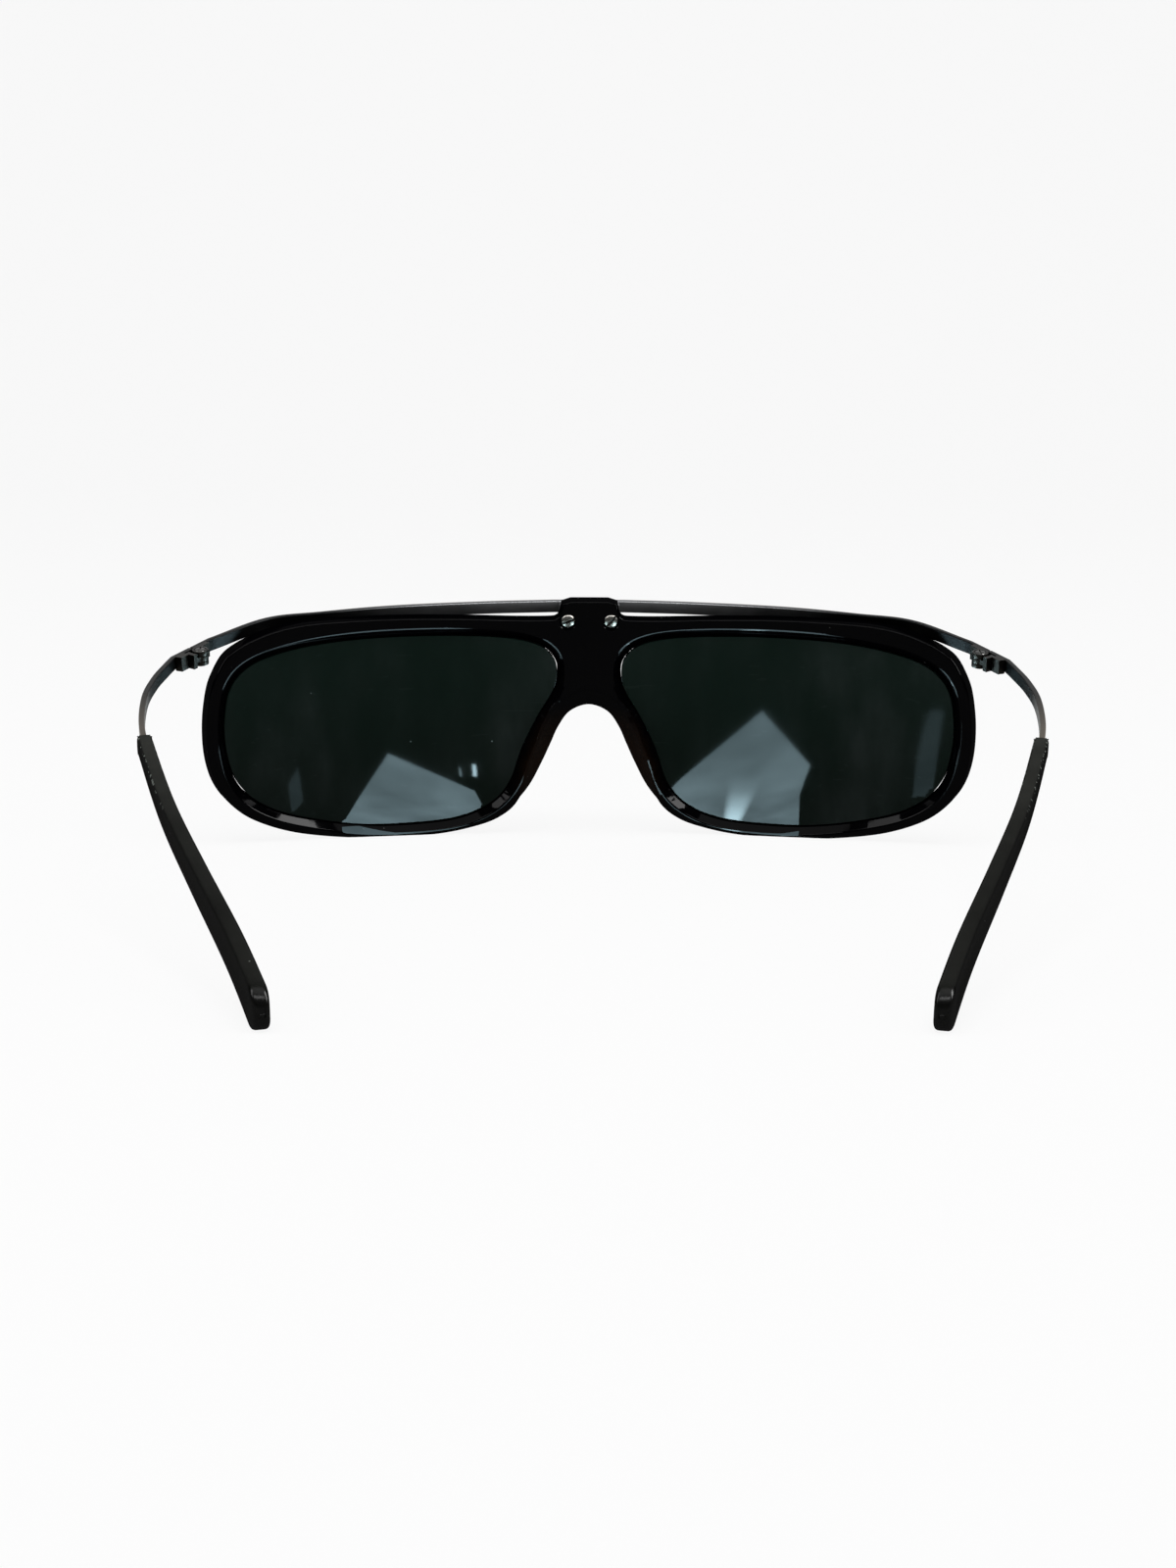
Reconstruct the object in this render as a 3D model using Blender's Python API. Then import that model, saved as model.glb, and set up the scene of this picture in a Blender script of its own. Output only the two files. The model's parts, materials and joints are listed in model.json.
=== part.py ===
"""Two-lens sunglasses with a wrapped acetate front, a slim metal brow bar and folding temples.

The front hangs from the brow bar by two screws. The model is built as it is worn, with the bar and
the temples in one level plane, and then tipped back to stand on its rims and temple tips.
Lengths are in metres. X runs across the face, +Y is behind the lenses and +Z is up.
"""

import math

import bmesh
import bpy
from mathutils import Matrix, Vector

# Lenses, measured flat before the front is bent
LENS_WIDTH = 0.0629
LENS_HEIGHT = 0.0364
LENS_SPACING = 0.0120
LENS_THICKNESS = 0.0019
LENS_DOME = 0.0012
LENS_RIDGE_WIDTH = 0.0011
LENS_RIDGE_HEIGHT = 0.00055
LENS_FIT = 0.0001

# Acetate front
FRONT_THICKNESS = 0.0040
WRAP_RADIUS = 0.190
RIM_TOP_WIDTH = 0.0036
RIM_SIDE_WIDTH = 0.0036
RIM_BOTTOM_WIDTH = 0.0023
FRONT_EDGE = 0.0006
REAR_EDGE = 0.0012
APERTURE_FRONT_BEVEL = 0.0004
APERTURE_REAR_BEVEL = 0.0009
APERTURE_BEVEL_DEPTH = 0.0009
BEND_SLICES = 16

# Nose opening, with its walls splayed toward the rear and a built-up pad on each side
BRIDGE_DEPTH = 0.0179
NOSE_FLARE = 0.0077
NOSE_SPLAY = 0.0036
PAD_RISE = 0.0018
PAD_OUTSET = 0.0046
PAD_HEIGHT_SHARE = 0.70
PAD_HALF_WIDTH = 0.0045
PAD_HALF_HEIGHT = 0.0085

# Tab above the bridge
TAB_TOP_HALF_WIDTH = 0.0035
TAB_CORNER = 0.0017
TAB_CORNER_DROP = 0.00055
TAB_RISE = 0.00265
TAB_FLARE = 0.0024
TAB_DIP = 0.00085

# Brow bar and the plate brazed behind its middle
BAR_HEIGHT = 0.0023
BAR_THICKNESS = 0.0010
BAR_CORNER = 0.00022
BAR_LEVEL_DROP = 0.00195
BAR_STANDOFF = 0.00045
FACE_TILT = math.radians(9.0)
PLATE_WIDTH = 0.0112
PLATE_DROP = 0.0024
PLATE_THICKNESS = 0.0010
PLATE_CORNER = 0.0004
BRAZE_GAP = 0.00006
POCKET_FIT = 0.00012

# Bridge screws
SCREW_SPACING = 0.0080
SCREW_DROP = 0.00095
SCREW_HEAD_RADIUS = 0.00125
SCREW_HEAD_HEIGHT = 0.0009
SCREW_DOME_HEIGHT = 0.0004
SCREW_SHANK_RADIUS = 0.0007
SCREW_RECESS = 0.0005
SCREW_FIT = 0.0001
SLOT_WIDTH = 0.00030
SLOT_DEPTH = 0.00035
SLOT_TURN_LEFT = math.radians(20.0)
SLOT_TURN_RIGHT = math.radians(50.0)

# Hinges
HINGE_OUTSET = 0.00145
HINGE_SETBACK = 0.0103
HINGE_TURN = math.radians(33.0)
HINGE_STRAIGHT = 0.0052
HINGE_HEIGHT = 0.0027
BARREL_RADIUS = 0.00145
BARREL_GAP = 0.00015
BUTT_GAP = 0.00016
KNUCKLE_SHARE = 0.33
FRONT_BARREL_TURNS = (math.radians(-80), math.radians(190))
TEMPLE_BARREL_TURNS = (math.radians(40), math.radians(320))
KNUCKLE_GAP = 0.00006
FRONT_LEAF_LENGTH = 0.0034
TEMPLE_LEAF_LENGTH = 0.0051
LEAF_THICKNESS = 0.0009
LUG_START = 0.0029
LUG_LENGTH = 0.0020
LUG_DEPTH = 0.0013
PIN_RADIUS = 0.00060
PIN_HEAD_RADIUS = 0.00100
PIN_HEAD_HEIGHT = 0.00035
PIN_FIT = 0.00007
PIN_SLOT_WIDTH = 0.00025
PIN_SLOT_DEPTH = 0.00018

# Temples
TEMPLE_REACH = 0.1310
TEMPLE_TURN_IN = 0.0242
SLEEVE_START = 0.0412
SLEEVE_START_HEIGHT = 0.0038
SLEEVE_END_HEIGHT = 0.0074
SLEEVE_START_THICKNESS = 0.0026
SLEEVE_END_THICKNESS = 0.0031
SLEEVE_SWELL = 1.3
SLEEVE_END_TURN = math.radians(84.0)
OVAL_SQUARENESS = 0.45
CORE_HEIGHT = 0.0014
CORE_THICKNESS = 0.0008
CORE_STOP = 0.0120
CORE_FIT = 0.00015
CORE_LEAD_IN = 0.0020

# Flats that the object stands on
FRONT_LAND_DEPTH = 0.00012
TIP_LAND_DEPTH = 0.00025

# Drawing
CUT_OVERRUN = 0.0010
CURVE_STEPS = 3
ROUND_STEPS = 24
OVAL_STEPS = 14
REST_ROUNDS = 8
MITRE_LIMIT = 0.5
SHARP_ANGLE = math.radians(35.0)

# Outline points: shares of the lens width and height, from its nose side and its foot
LENS_SHARES = (
    (0.000, 0.766),
    (0.008, 0.865),
    (0.062, 0.945),
    (0.183, 0.986),
    (0.426, 1.000),
    (0.657, 0.989),
    (0.824, 0.950),
    (0.928, 0.885),
    (0.982, 0.778),
    (1.000, 0.624),
    (0.998, 0.472),
    (0.975, 0.319),
    (0.925, 0.203),
    (0.835, 0.110),
    (0.696, 0.041),
    (0.552, 0.004),
    (0.405, 0.003),
    (0.286, 0.030),
    (0.194, 0.102),
    (0.140, 0.212),
    (0.103, 0.390),
    (0.057, 0.555),
    (0.016, 0.679),
)
# Shares of the tab's flare and dip, where its side runs out into the rim
FLARE_SHARES = ((0.15, 0.24), (0.37, -0.65), (1.00, -1.00))
# Shares of the front's half width and rim height, from the tab round to the nose
RIM_SHARES = (
    (0.193, 0.981),
    (0.331, 0.991),
    (0.510, 1.000),
    (0.690, 0.998),
    (0.770, 0.987),
    (0.822, 0.969),
    (0.862, 0.947),
    (0.903, 0.918),
    (0.943, 0.871),
    (0.972, 0.791),
    (0.989, 0.708),
    (1.000, 0.567),
    (0.997, 0.421),
    (0.977, 0.298),
    (0.938, 0.203),
    (0.876, 0.123),
    (0.772, 0.054),
    (0.634, 0.013),
    (0.497, 0.000),
    (0.386, 0.008),
    (0.297, 0.036),
    (0.237, 0.073),
)
# Shares of the nose opening's half width and height, and of its splay, to just past the middle
NOSE_SHARES = (
    (1.000, 0.225, 0.10),
    (0.803, 0.361, 0.45),
    (0.635, 0.545, 0.75),
    (0.518, 0.693, 0.80),
    (0.412, 0.828, 0.85),
    (0.255, 0.947, 0.90),
    (0.000, 1.000, 1.00),
    (-0.255, 0.947, 0.90),
)
# Depth shares of the half thickness, with shares of the front and of the rear edge rounding
EDGE_SHARES = (
    (-1.00, 1.00, 0.00),
    (-0.85, 0.30, 0.00),
    (-0.55, 0.00, 0.00),
    (0.15, 0.00, 0.05),
    (0.60, 0.00, 0.30),
    (0.88, 0.00, 0.62),
    (1.00, 0.00, 1.00),
)
LENS_RING_SHARES = (0.12, 0.42, 0.74)
# Shares of a screw head's radius and of its dome's height
DOME_SHARES = ((1.00, 0.00), (0.87, 0.50), (0.62, 0.82), (0.30, 1.00))
# Shares of the hinge's place outward and behind, along the bar's outer face
BAR_SHARES = ((0.27, 0.040), (0.506, 0.132), (0.69, 0.266), (0.829, 0.401))
# Shares of the temple's turn-in, outward, and of its reach behind the hinge
TEMPLE_SHARES = (
    (0.155, 0.060),
    (0.210, 0.106),
    (0.238, 0.168),
    (0.196, 0.258),
    (0.081, 0.351),
    (-0.154, 0.512),
    (-0.443, 0.677),
    (-0.764, 0.854),
    (-1.000, 1.000),
)

FRONT_HALF_WIDTH = LENS_SPACING / 2 + LENS_WIDTH + RIM_SIDE_WIDTH
RIM_HEIGHT = RIM_BOTTOM_WIDTH + LENS_HEIGHT + RIM_TOP_WIDTH
NOSE_HEIGHT = RIM_HEIGHT - BRIDGE_DEPTH
NOSE_HALF_WIDTH = LENS_SPACING / 2 + NOSE_FLARE
TAB_TOP = RIM_HEIGHT + TAB_RISE
BAR_LEVEL = TAB_TOP - BAR_LEVEL_DROP
BAR_FACE = FRONT_THICKNESS / 2 + BAR_STANDOFF + BAR_THICKNESS
AXIS_INSET = BAR_THICKNESS + BARREL_GAP + BARREL_RADIUS


def clear_scene():
    """Empty the scene of whatever it starts with."""
    for obj in list(bpy.data.objects):
        bpy.data.objects.remove(obj, do_unlink=True)


def finish(name, colour, roughness, metallic=0.0, coat=0.0):
    """One Principled material."""
    made = bpy.data.materials.new(name)
    made.use_nodes = True
    shader = made.node_tree.nodes["Principled BSDF"]
    shader.inputs["Base Color"].default_value = (*colour, 1.0)
    shader.inputs["Roughness"].default_value = roughness
    shader.inputs["Metallic"].default_value = metallic
    shader.inputs["Coat Weight"].default_value = coat
    made.diffuse_color = (*colour, 1.0)
    return made


def smooth(points, closed=False):
    """A curve through the points, each span divided into the same number of steps."""
    points = [Vector(p) for p in points]
    count = len(points)
    spans = count if closed else count - 1
    curve = []
    for i in range(spans):
        if closed:
            p0, p1, p2, p3 = (points[(i + k) % count] for k in (-1, 0, 1, 2))
        else:
            p1, p2 = points[i], points[i + 1]
            p0 = points[i - 1] if i else 2 * p1 - p2
            p3 = points[i + 2] if i + 2 < count else 2 * p2 - p1
        for step in range(CURVE_STEPS):
            t = step / CURVE_STEPS
            curve.append(
                0.5 * (2 * p1 + (p2 - p0) * t)
                + 0.5 * (2 * p0 - 5 * p1 + 4 * p2 - p3) * t**2
                + 0.5 * (3 * p1 - p0 - 3 * p2 + p3) * t**3
            )
    if not closed:
        curve.append(points[-1])
    return curve


def inset(outline, amounts):
    """The closed outline moved inward, by its own amount at each point."""
    area = sum(a.x * b.y - b.x * a.y for a, b in zip(outline, outline[1:] + outline[:1]))
    side = 1 if area > 0 else -1
    moved = []
    for i, point in enumerate(outline):
        before = (point - outline[i - 1]).to_2d().normalized()
        after = (outline[(i + 1) % len(outline)] - point).to_2d().normalized()
        normal = Vector((-(before.y + after.y), before.x + after.x)).normalized() * side
        reach = max(normal.dot(Vector((-before.y, before.x)) * side), MITRE_LIMIT)
        moved.append(point.to_2d() + normal * amounts[i] / reach)
    return moved


def loft(rings):
    """A closed body through rings of equal count, with a flat cap at each end."""
    bm = bmesh.new()
    made = [[bm.verts.new(co) for co in ring] for ring in rings]
    for first, second in zip(made, made[1:]):
        for i in range(len(first)):
            j = (i + 1) % len(first)
            bm.faces.new((first[i], first[j], second[j], second[i]))
    bm.faces.new(made[0])
    bm.faces.new(made[-1])
    bmesh.ops.recalc_face_normals(bm, faces=bm.faces[:])
    return bm


def lens_outline():
    """The seen edge of the left lens, flat, as points across and up."""
    start = LENS_SPACING / 2
    return smooth(
        [(start + a * LENS_WIDTH, RIM_BOTTOM_WIDTH + b * LENS_HEIGHT) for a, b in LENS_SHARES],
        closed=True,
    )


def front_outline():
    """The front's outer edge, flat: points across and up, with the share of the nose splay."""
    shoulder = TAB_TOP_HALF_WIDTH + TAB_CORNER
    tab = [(TAB_TOP_HALF_WIDTH, TAB_TOP, 0.0), (shoulder, TAB_TOP - TAB_CORNER_DROP, 0.0)]
    run = [(shoulder + a * TAB_FLARE, RIM_HEIGHT + b * TAB_DIP, 0.0) for a, b in FLARE_SHARES]
    run += [(a * FRONT_HALF_WIDTH, b * RIM_HEIGHT, 0.0) for a, b in RIM_SHARES]
    run += [(a * NOSE_HALF_WIDTH, b * NOSE_HEIGHT, c) for a, b, c in NOSE_SHARES]
    half = [Vector(p) for p in tab] + smooth(run)[:-CURVE_STEPS]
    return half + [Vector((-p.x, p.y, p.z)) for p in reversed(half[:-1])]


def front_blank():
    """The flat front with its rounded edges and splayed nose, before the lenses are let in."""
    outline = front_outline()
    first = next(depth for depth, front, rear in EDGE_SHARES if not front)
    rings = []
    for depth, front, rear in EDGE_SHARES:
        splay = NOSE_SPLAY * max(0.0, (depth - first) / (1 - first))
        amounts = [front * FRONT_EDGE + rear * REAR_EDGE + p.z * splay for p in outline]
        y = depth * FRONT_THICKNESS / 2
        rings.append([(p.x, y, p.y) for p in inset(outline, amounts)])
    return loft(rings)


def aperture(side):
    """Cutter for one lens opening: a bevel in front and behind, and the groove between."""
    outline = lens_outline()
    half = FRONT_THICKNESS / 2
    ridge = LENS_RIDGE_WIDTH / 2 + LENS_FIT
    groove = LENS_RIDGE_HEIGHT + LENS_FIT
    steps = (
        (-half - CUT_OVERRUN, APERTURE_FRONT_BEVEL),
        (-half, APERTURE_FRONT_BEVEL),
        (-half + APERTURE_BEVEL_DEPTH / 2, 0.0),
        (-ridge, 0.0),
        (0.0, groove),
        (ridge, 0.0),
        (half - APERTURE_BEVEL_DEPTH, 0.0),
        (half, APERTURE_REAR_BEVEL),
        (half + CUT_OVERRUN, APERTURE_REAR_BEVEL),
    )
    rings = []
    for y, grow in steps:
        grown = inset(outline, [-grow] * len(outline))
        rings.append([(side * p.x, y, p.y) for p in grown])
    return loft(rings)


def lens(side):
    """One lens, flat at its edge and domed forward, with the ridge that sits in the groove."""
    outline = lens_outline()
    middle = sum(outline, Vector((0.0, 0.0))) / len(outline)
    half = LENS_THICKNESS / 2

    def domed(share, y):
        rise = LENS_DOME * (1 - share**2)
        return [(p.x, y - rise, p.y) for p in (middle + (q - middle) * share for q in edge)]

    edge = inset(outline, [LENS_FIT] * len(outline))
    ridge = inset(outline, [-LENS_RIDGE_HEIGHT + LENS_FIT] * len(outline))
    rings = [domed(share, -half) for share in LENS_RING_SHARES]
    for y in (-half, -LENS_RIDGE_WIDTH / 2):
        rings.append([(p.x, y, p.y) for p in edge])
    rings.append([(p.x, 0.0, p.y) for p in ridge])
    for y in (LENS_RIDGE_WIDTH / 2, half):
        rings.append([(p.x, y, p.y) for p in edge])
    rings += [domed(share, half) for share in reversed(LENS_RING_SHARES)]
    return loft([[(side * x, y, z) for x, y, z in ring] for ring in rings])


def raise_pads(bm):
    """Build the rear face up beside the nose."""
    half = FRONT_THICKNESS / 2
    for vert in bm.verts:
        across = (abs(vert.co.x) - LENS_SPACING / 2 - PAD_OUTSET) / PAD_HALF_WIDTH
        up = (vert.co.z - PAD_HEIGHT_SHARE * NOSE_HEIGHT) / PAD_HALF_HEIGHT
        ramp = max(0.0, 2 * vert.co.y / half - 1)
        vert.co.y += PAD_RISE * ramp * math.exp(-(across**2) - up**2)


def bent(point):
    """Where a flat point goes when the front is wrapped about an upright axis behind it."""
    turn = point.x / WRAP_RADIUS
    reach = WRAP_RADIUS - point.y
    return Vector((reach * math.sin(turn), WRAP_RADIUS - reach * math.cos(turn), point.z))


def wrap(bm, slices=1):
    """Slice a flat body across its width, wrap it, and hang it behind the brow bar."""
    bmesh.ops.triangulate(bm, faces=bm.faces[:])
    for i in range(1, slices):
        x = FRONT_HALF_WIDTH * (2 * i / slices - 1)
        geometry = bm.verts[:] + bm.edges[:] + bm.faces[:]
        bmesh.ops.bisect_plane(bm, geom=geometry, plane_co=(x, 0, 0), plane_no=(1, 0, 0))
    bmesh.ops.triangulate(bm, faces=bm.faces[:])
    for vert in bm.verts:
        vert.co = bent(vert.co)
    tilt = Matrix.Rotation(FACE_TILT, 4, "X")
    bm.transform(tilt @ Matrix.Translation((0, BAR_FACE, -BAR_LEVEL)))
    return bm


def carved(bm, cutters):
    """The body with each cutter taken out of it."""
    obj = object_of("blank", bm)
    for cutter in cutters:
        cut(obj, cutter)
    graph = bpy.context.evaluated_depsgraph_get()
    mesh = bpy.data.meshes.new_from_object(obj.evaluated_get(graph))
    made = bmesh.new()
    made.from_mesh(mesh)
    for used in [obj] + [modifier.object for modifier in obj.modifiers]:
        bpy.data.objects.remove(used, do_unlink=True)
    bpy.data.meshes.remove(mesh)
    return made


def object_of(name, bm):
    """An object that holds the body, smooth but for its sharp edges."""
    mesh = bpy.data.meshes.new(name)
    bm.to_mesh(mesh)
    bm.free()
    mesh.shade_smooth()
    mesh.set_sharp_from_angle(angle=SHARP_ANGLE)
    obj = bpy.data.objects.new(name, mesh)
    bpy.context.scene.collection.objects.link(obj)
    return obj


def cut(obj, cutter_bm):
    """Take a hidden cutter out of an object, in that object's own space."""
    cutter = object_of(obj.name + "_cutter", cutter_bm)
    cutter.parent = obj
    cutter.hide_render = True
    cutter.display_type = "WIRE"
    modifier = obj.modifiers.new("cut", "BOOLEAN")
    modifier.operation = "DIFFERENCE"
    modifier.solver = "EXACT"
    modifier.object = cutter


def mirrored(bm):
    """A copy of the body for the other side."""
    copy = bm.copy()
    copy.transform(Matrix.Scale(-1, 4, (1, 0, 0)))
    bmesh.ops.reverse_faces(copy, faces=copy.faces[:])
    return copy


def along(points):
    """The distance of each point along the path."""
    total = [0.0]
    for a, b in zip(points, points[1:]):
        total.append(total[-1] + (b - a).length)
    return total


def part_of(points, start, end):
    """The stretch of a path between two distances along it."""
    total = along(points)

    def at(distance):
        for i in range(len(points) - 1):
            if distance <= total[i + 1] or i == len(points) - 2:
                share = (distance - total[i]) / (total[i + 1] - total[i])
                return points[i].lerp(points[i + 1], share)

    inner = [p for p, d in zip(points, total) if start + BUTT_GAP < d < end - BUTT_GAP]
    return [at(start)] + inner + [at(end)]


def hinge_seam():
    """Where the bar's outer face ends and the left temple's starts, and the way that they run."""
    end = bent(Vector((FRONT_HALF_WIDTH, 0, 0)))
    seam = Vector((end.x + HINGE_OUTSET, end.y + HINGE_SETBACK))
    return seam, Vector((math.sin(HINGE_TURN), math.cos(HINGE_TURN)))


def bar_path():
    """The bar's outer face from the right hinge round to the left one, seen from above."""
    seam, run = hinge_seam()
    flat = Vector((PLATE_WIDTH / 2 + BAR_THICKNESS, 0))
    straight = seam - run * HINGE_STRAIGHT
    shaped = [Vector((a * seam.x, b * seam.y)) for a, b in BAR_SHARES]
    half = smooth([flat] + shaped + [straight]) + [seam - run * BUTT_GAP / 2]
    return [Vector((-p.x, p.y)) for p in reversed(half)] + half


def temple_path():
    """The left temple's outer face from its hinge to its tip, seen from above."""
    seam, run = hinge_seam()
    shaped = [
        (seam.x + a * TEMPLE_TURN_IN, seam.y + b * TEMPLE_REACH) for a, b in TEMPLE_SHARES
    ]
    start = seam + run * BUTT_GAP / 2
    return [start] + smooth([seam + run * HINGE_STRAIGHT] + shaped)


def normals(points):
    """The inward normal at each point of a path that runs with the face on its left."""
    found = []
    for i, point in enumerate(points):
        before = points[max(i - 1, 0)]
        after = points[min(i + 1, len(points) - 1)]
        tangent = (after - before).normalized()
        found.append(Vector((-tangent.y, tangent.x)))
    return found


def strip_section(middle, normal, thickness, height, corner):
    """One ring of a flat strip with its corners taken off."""
    a, b = thickness / 2, height / 2
    shape = (
        (a, b - corner),
        (a - corner, b),
        (corner - a, b),
        (-a, b - corner),
        (-a, corner - b),
        (corner - a, -b),
        (a - corner, -b),
        (a, corner - b),
    )
    return [(*(middle + normal * u), v) for u, v in shape]


def strip(points, thickness, height, corner, set_in):
    """A flat strip along a path, its middle set in from the path."""
    return [
        strip_section(point + normal * set_in, normal, thickness, height, corner)
        for point, normal in zip(points, normals(points))
    ]


def brow_bar():
    """The bar, a flat strip swept from hinge to hinge."""
    return loft(strip(bar_path(), BAR_THICKNESS, BAR_HEIGHT, BAR_CORNER, BAR_THICKNESS / 2))


def temple_bar():
    """The left temple's strip, which narrows to a core inside its sleeve."""
    path = temple_path()
    length = along(path)[-1]
    seen = part_of(path, 0.0, SLEEVE_START - CORE_LEAD_IN)
    core = part_of(path, SLEEVE_START, length - CORE_STOP)
    middle = BAR_THICKNESS / 2
    rings = strip(seen, BAR_THICKNESS, BAR_HEIGHT, BAR_CORNER, middle)
    rings += strip(core, CORE_THICKNESS, CORE_HEIGHT, BAR_CORNER, middle)
    return loft(rings)


def core_slot():
    """Cutter for the slot in the sleeve that takes the temple's core."""
    path = temple_path()
    length = along(path)[-1]
    points = part_of(path, SLEEVE_START - CUT_OVERRUN, length - CORE_STOP + CORE_FIT)
    grow = 2 * CORE_FIT
    middle = BAR_THICKNESS / 2
    return loft(strip(points, CORE_THICKNESS + grow, CORE_HEIGHT + grow, BAR_CORNER, middle))


def sleeve_stations(length):
    """Distances along the sleeve, each with the share of its section that is left there."""
    cap = SLEEVE_END_HEIGHT / 2
    steps = ROUND_STEPS // 4
    spans = OVAL_STEPS
    stations = [((length - cap) * i / spans, 1.0) for i in range(spans)]
    for i in range(steps + 1):
        turn = SLEEVE_END_TURN * i / steps
        stations.append((length - cap * (1 - math.sin(turn)), math.cos(turn)))
    return stations


def sleeve():
    """The left temple's acetate sleeve: slim where it starts, a deep paddle at its rounded end."""
    path = temple_path()
    points = part_of(path, SLEEVE_START, along(path)[-1])
    length = along(points)[-1]
    rings = []
    for distance, scale in sleeve_stations(length):
        share = distance / length
        before = max(distance - CUT_OVERRUN, 0.0)
        after = min(distance + CUT_OVERRUN, length)
        near = part_of(points, before, after)
        run = (near[-1] - near[0]).normalized()
        normal = Vector((-run.y, run.x))
        place = part_of(points, before, distance)[-1] if distance else points[0]
        thick = SLEEVE_START_THICKNESS + share * (SLEEVE_END_THICKNESS - SLEEVE_START_THICKNESS)
        swell = share**SLEEVE_SWELL
        high = SLEEVE_START_HEIGHT + swell * (SLEEVE_END_HEIGHT - SLEEVE_START_HEIGHT)
        middle = place + normal * BAR_THICKNESS / 2
        rings.append(sleeve_section(middle, normal, thick * math.sqrt(scale), high * scale))
    return loft(rings)


def oval(value):
    """A sine or cosine pushed outward, which flattens the oval's sides."""
    return math.copysign(abs(value) ** OVAL_SQUARENESS, value)


def sleeve_section(middle, normal, thickness, height):
    """One ring of the sleeve: an oval with flattened sides."""
    ring = []
    for i in range(OVAL_STEPS):
        turn = 2 * math.pi * i / OVAL_STEPS
        u = oval(math.cos(turn)) * thickness / 2
        v = oval(math.sin(turn)) * height / 2
        ring.append((*(middle + normal * u), v))
    return ring


def hinge_frame():
    """Places a hinge built along X, with its axis on Z, on the left end of the bar."""
    seam, run = hinge_seam()
    inward = Vector((-run.y, run.x))
    axis = seam + inward * AXIS_INSET
    frame = Matrix.Identity(4)
    frame.col[0][:3] = (*run, 0)
    frame.col[1][:3] = (*inward, 0)
    frame.translation = (*axis, 0)
    return frame


def prism(outline, low, high):
    """A flat outline given a thickness."""
    return loft([[(x, y, low) for x, y in outline], [(x, y, high) for x, y in outline]])


def disc(radius, low, high):
    """A round cutter or pin on the Z axis."""
    turns = [2 * math.pi * i / ROUND_STEPS for i in range(ROUND_STEPS)]
    return prism([(radius * math.cos(a), radius * math.sin(a)) for a in turns], low, high)


def arc(radius, start, end):
    """Points round the hinge axis between two angles."""
    steps = math.ceil(ROUND_STEPS * (end - start) / (2 * math.pi))
    turns = [start + (end - start) * i / steps for i in range(steps + 1)]
    return [(radius * math.cos(a), radius * math.sin(a)) for a in turns]


def front_leaf_outline():
    """The leaf on the bar, seen down the axis: the barrel and its foot along the strip."""
    foot = BRAZE_GAP - BARREL_GAP - BARREL_RADIUS
    top = foot + LEAF_THICKNESS
    leaf = [(-BARREL_RADIUS, top), (-FRONT_LEAF_LENGTH, top)]
    leaf += [(-FRONT_LEAF_LENGTH, foot), (-BARREL_RADIUS / 2, foot)]
    return arc(BARREL_RADIUS, *FRONT_BARREL_TURNS) + leaf


def temple_leaf_outline():
    """The leaf on the temple: the barrel's middle, a neck, the lug and its foot."""
    foot = BRAZE_GAP - BARREL_GAP - BARREL_RADIUS
    top = foot + LUG_DEPTH
    end = LUG_START + LUG_LENGTH
    barrel = arc(BARREL_RADIUS, *TEMPLE_BARREL_TURNS)
    return barrel + [
        (LUG_START, barrel[-1][1]),
        (LUG_START, foot),
        (TEMPLE_LEAF_LENGTH, foot),
        (TEMPLE_LEAF_LENGTH, foot + LEAF_THICKNESS / 2),
        (end, foot + LEAF_THICKNESS),
        (end, top),
        (LUG_START, top),
        (LUG_START, barrel[0][1]),
    ]


def knuckle_half():
    """Half the height of the middle knuckle."""
    return KNUCKLE_SHARE * HINGE_HEIGHT / 2


def pin_hole():
    """Cutter for the hinge screw: its shank, and the seat of its head."""
    half = HINGE_HEIGHT / 2
    seat = half - PIN_HEAD_HEIGHT - PIN_FIT
    hole = disc(PIN_RADIUS + PIN_FIT, -half - CUT_OVERRUN, seat + PIN_FIT)
    return hole, disc(PIN_HEAD_RADIUS + PIN_FIT, seat, half + CUT_OVERRUN)


def front_leaf(frame):
    """The left hinge's outer knuckles with the slot between them milled out."""
    half = HINGE_HEIGHT / 2
    middle = knuckle_half() + KNUCKLE_GAP
    reach = LUG_START - (LUG_START - BARREL_RADIUS) / 2
    cutters = [disc(reach, -middle, middle), *pin_hole()]
    return placed(carved(prism(front_leaf_outline(), -half, half), cutters), frame)


def temple_leaf(frame):
    """The left hinge's middle knuckle and lug."""
    half = HINGE_HEIGHT / 2
    middle = knuckle_half()
    reach = LUG_START - (LUG_START - BARREL_RADIUS) / 2
    cutters = [
        disc(reach, middle, half + CUT_OVERRUN),
        disc(reach, -half - CUT_OVERRUN, -middle),
        disc(PIN_RADIUS + PIN_FIT, -half, half),
    ]
    return placed(carved(prism(temple_leaf_outline(), -half, half), cutters), frame)


def turned(profile):
    """A body turned about Z from (radius, height) points, the first and last on the axis."""
    rings = []
    for radius, height in profile:
        turns = [2 * math.pi * i / ROUND_STEPS for i in range(ROUND_STEPS)]
        rings.append([(radius * math.cos(a), radius * math.sin(a), height) for a in turns])
    return loft(rings)


def slotted(bm, width, depth, top, turn):
    """The screw with a slot sawn across its head."""
    reach = SCREW_HEAD_RADIUS + CUT_OVERRUN
    outline = [(-reach, -width / 2), (reach, -width / 2), (reach, width / 2), (-reach, width / 2)]
    saw = prism(outline, top - depth, top + CUT_OVERRUN)
    saw.transform(Matrix.Rotation(turn, 4, "Z"))
    return carved(bm, [saw])


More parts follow.
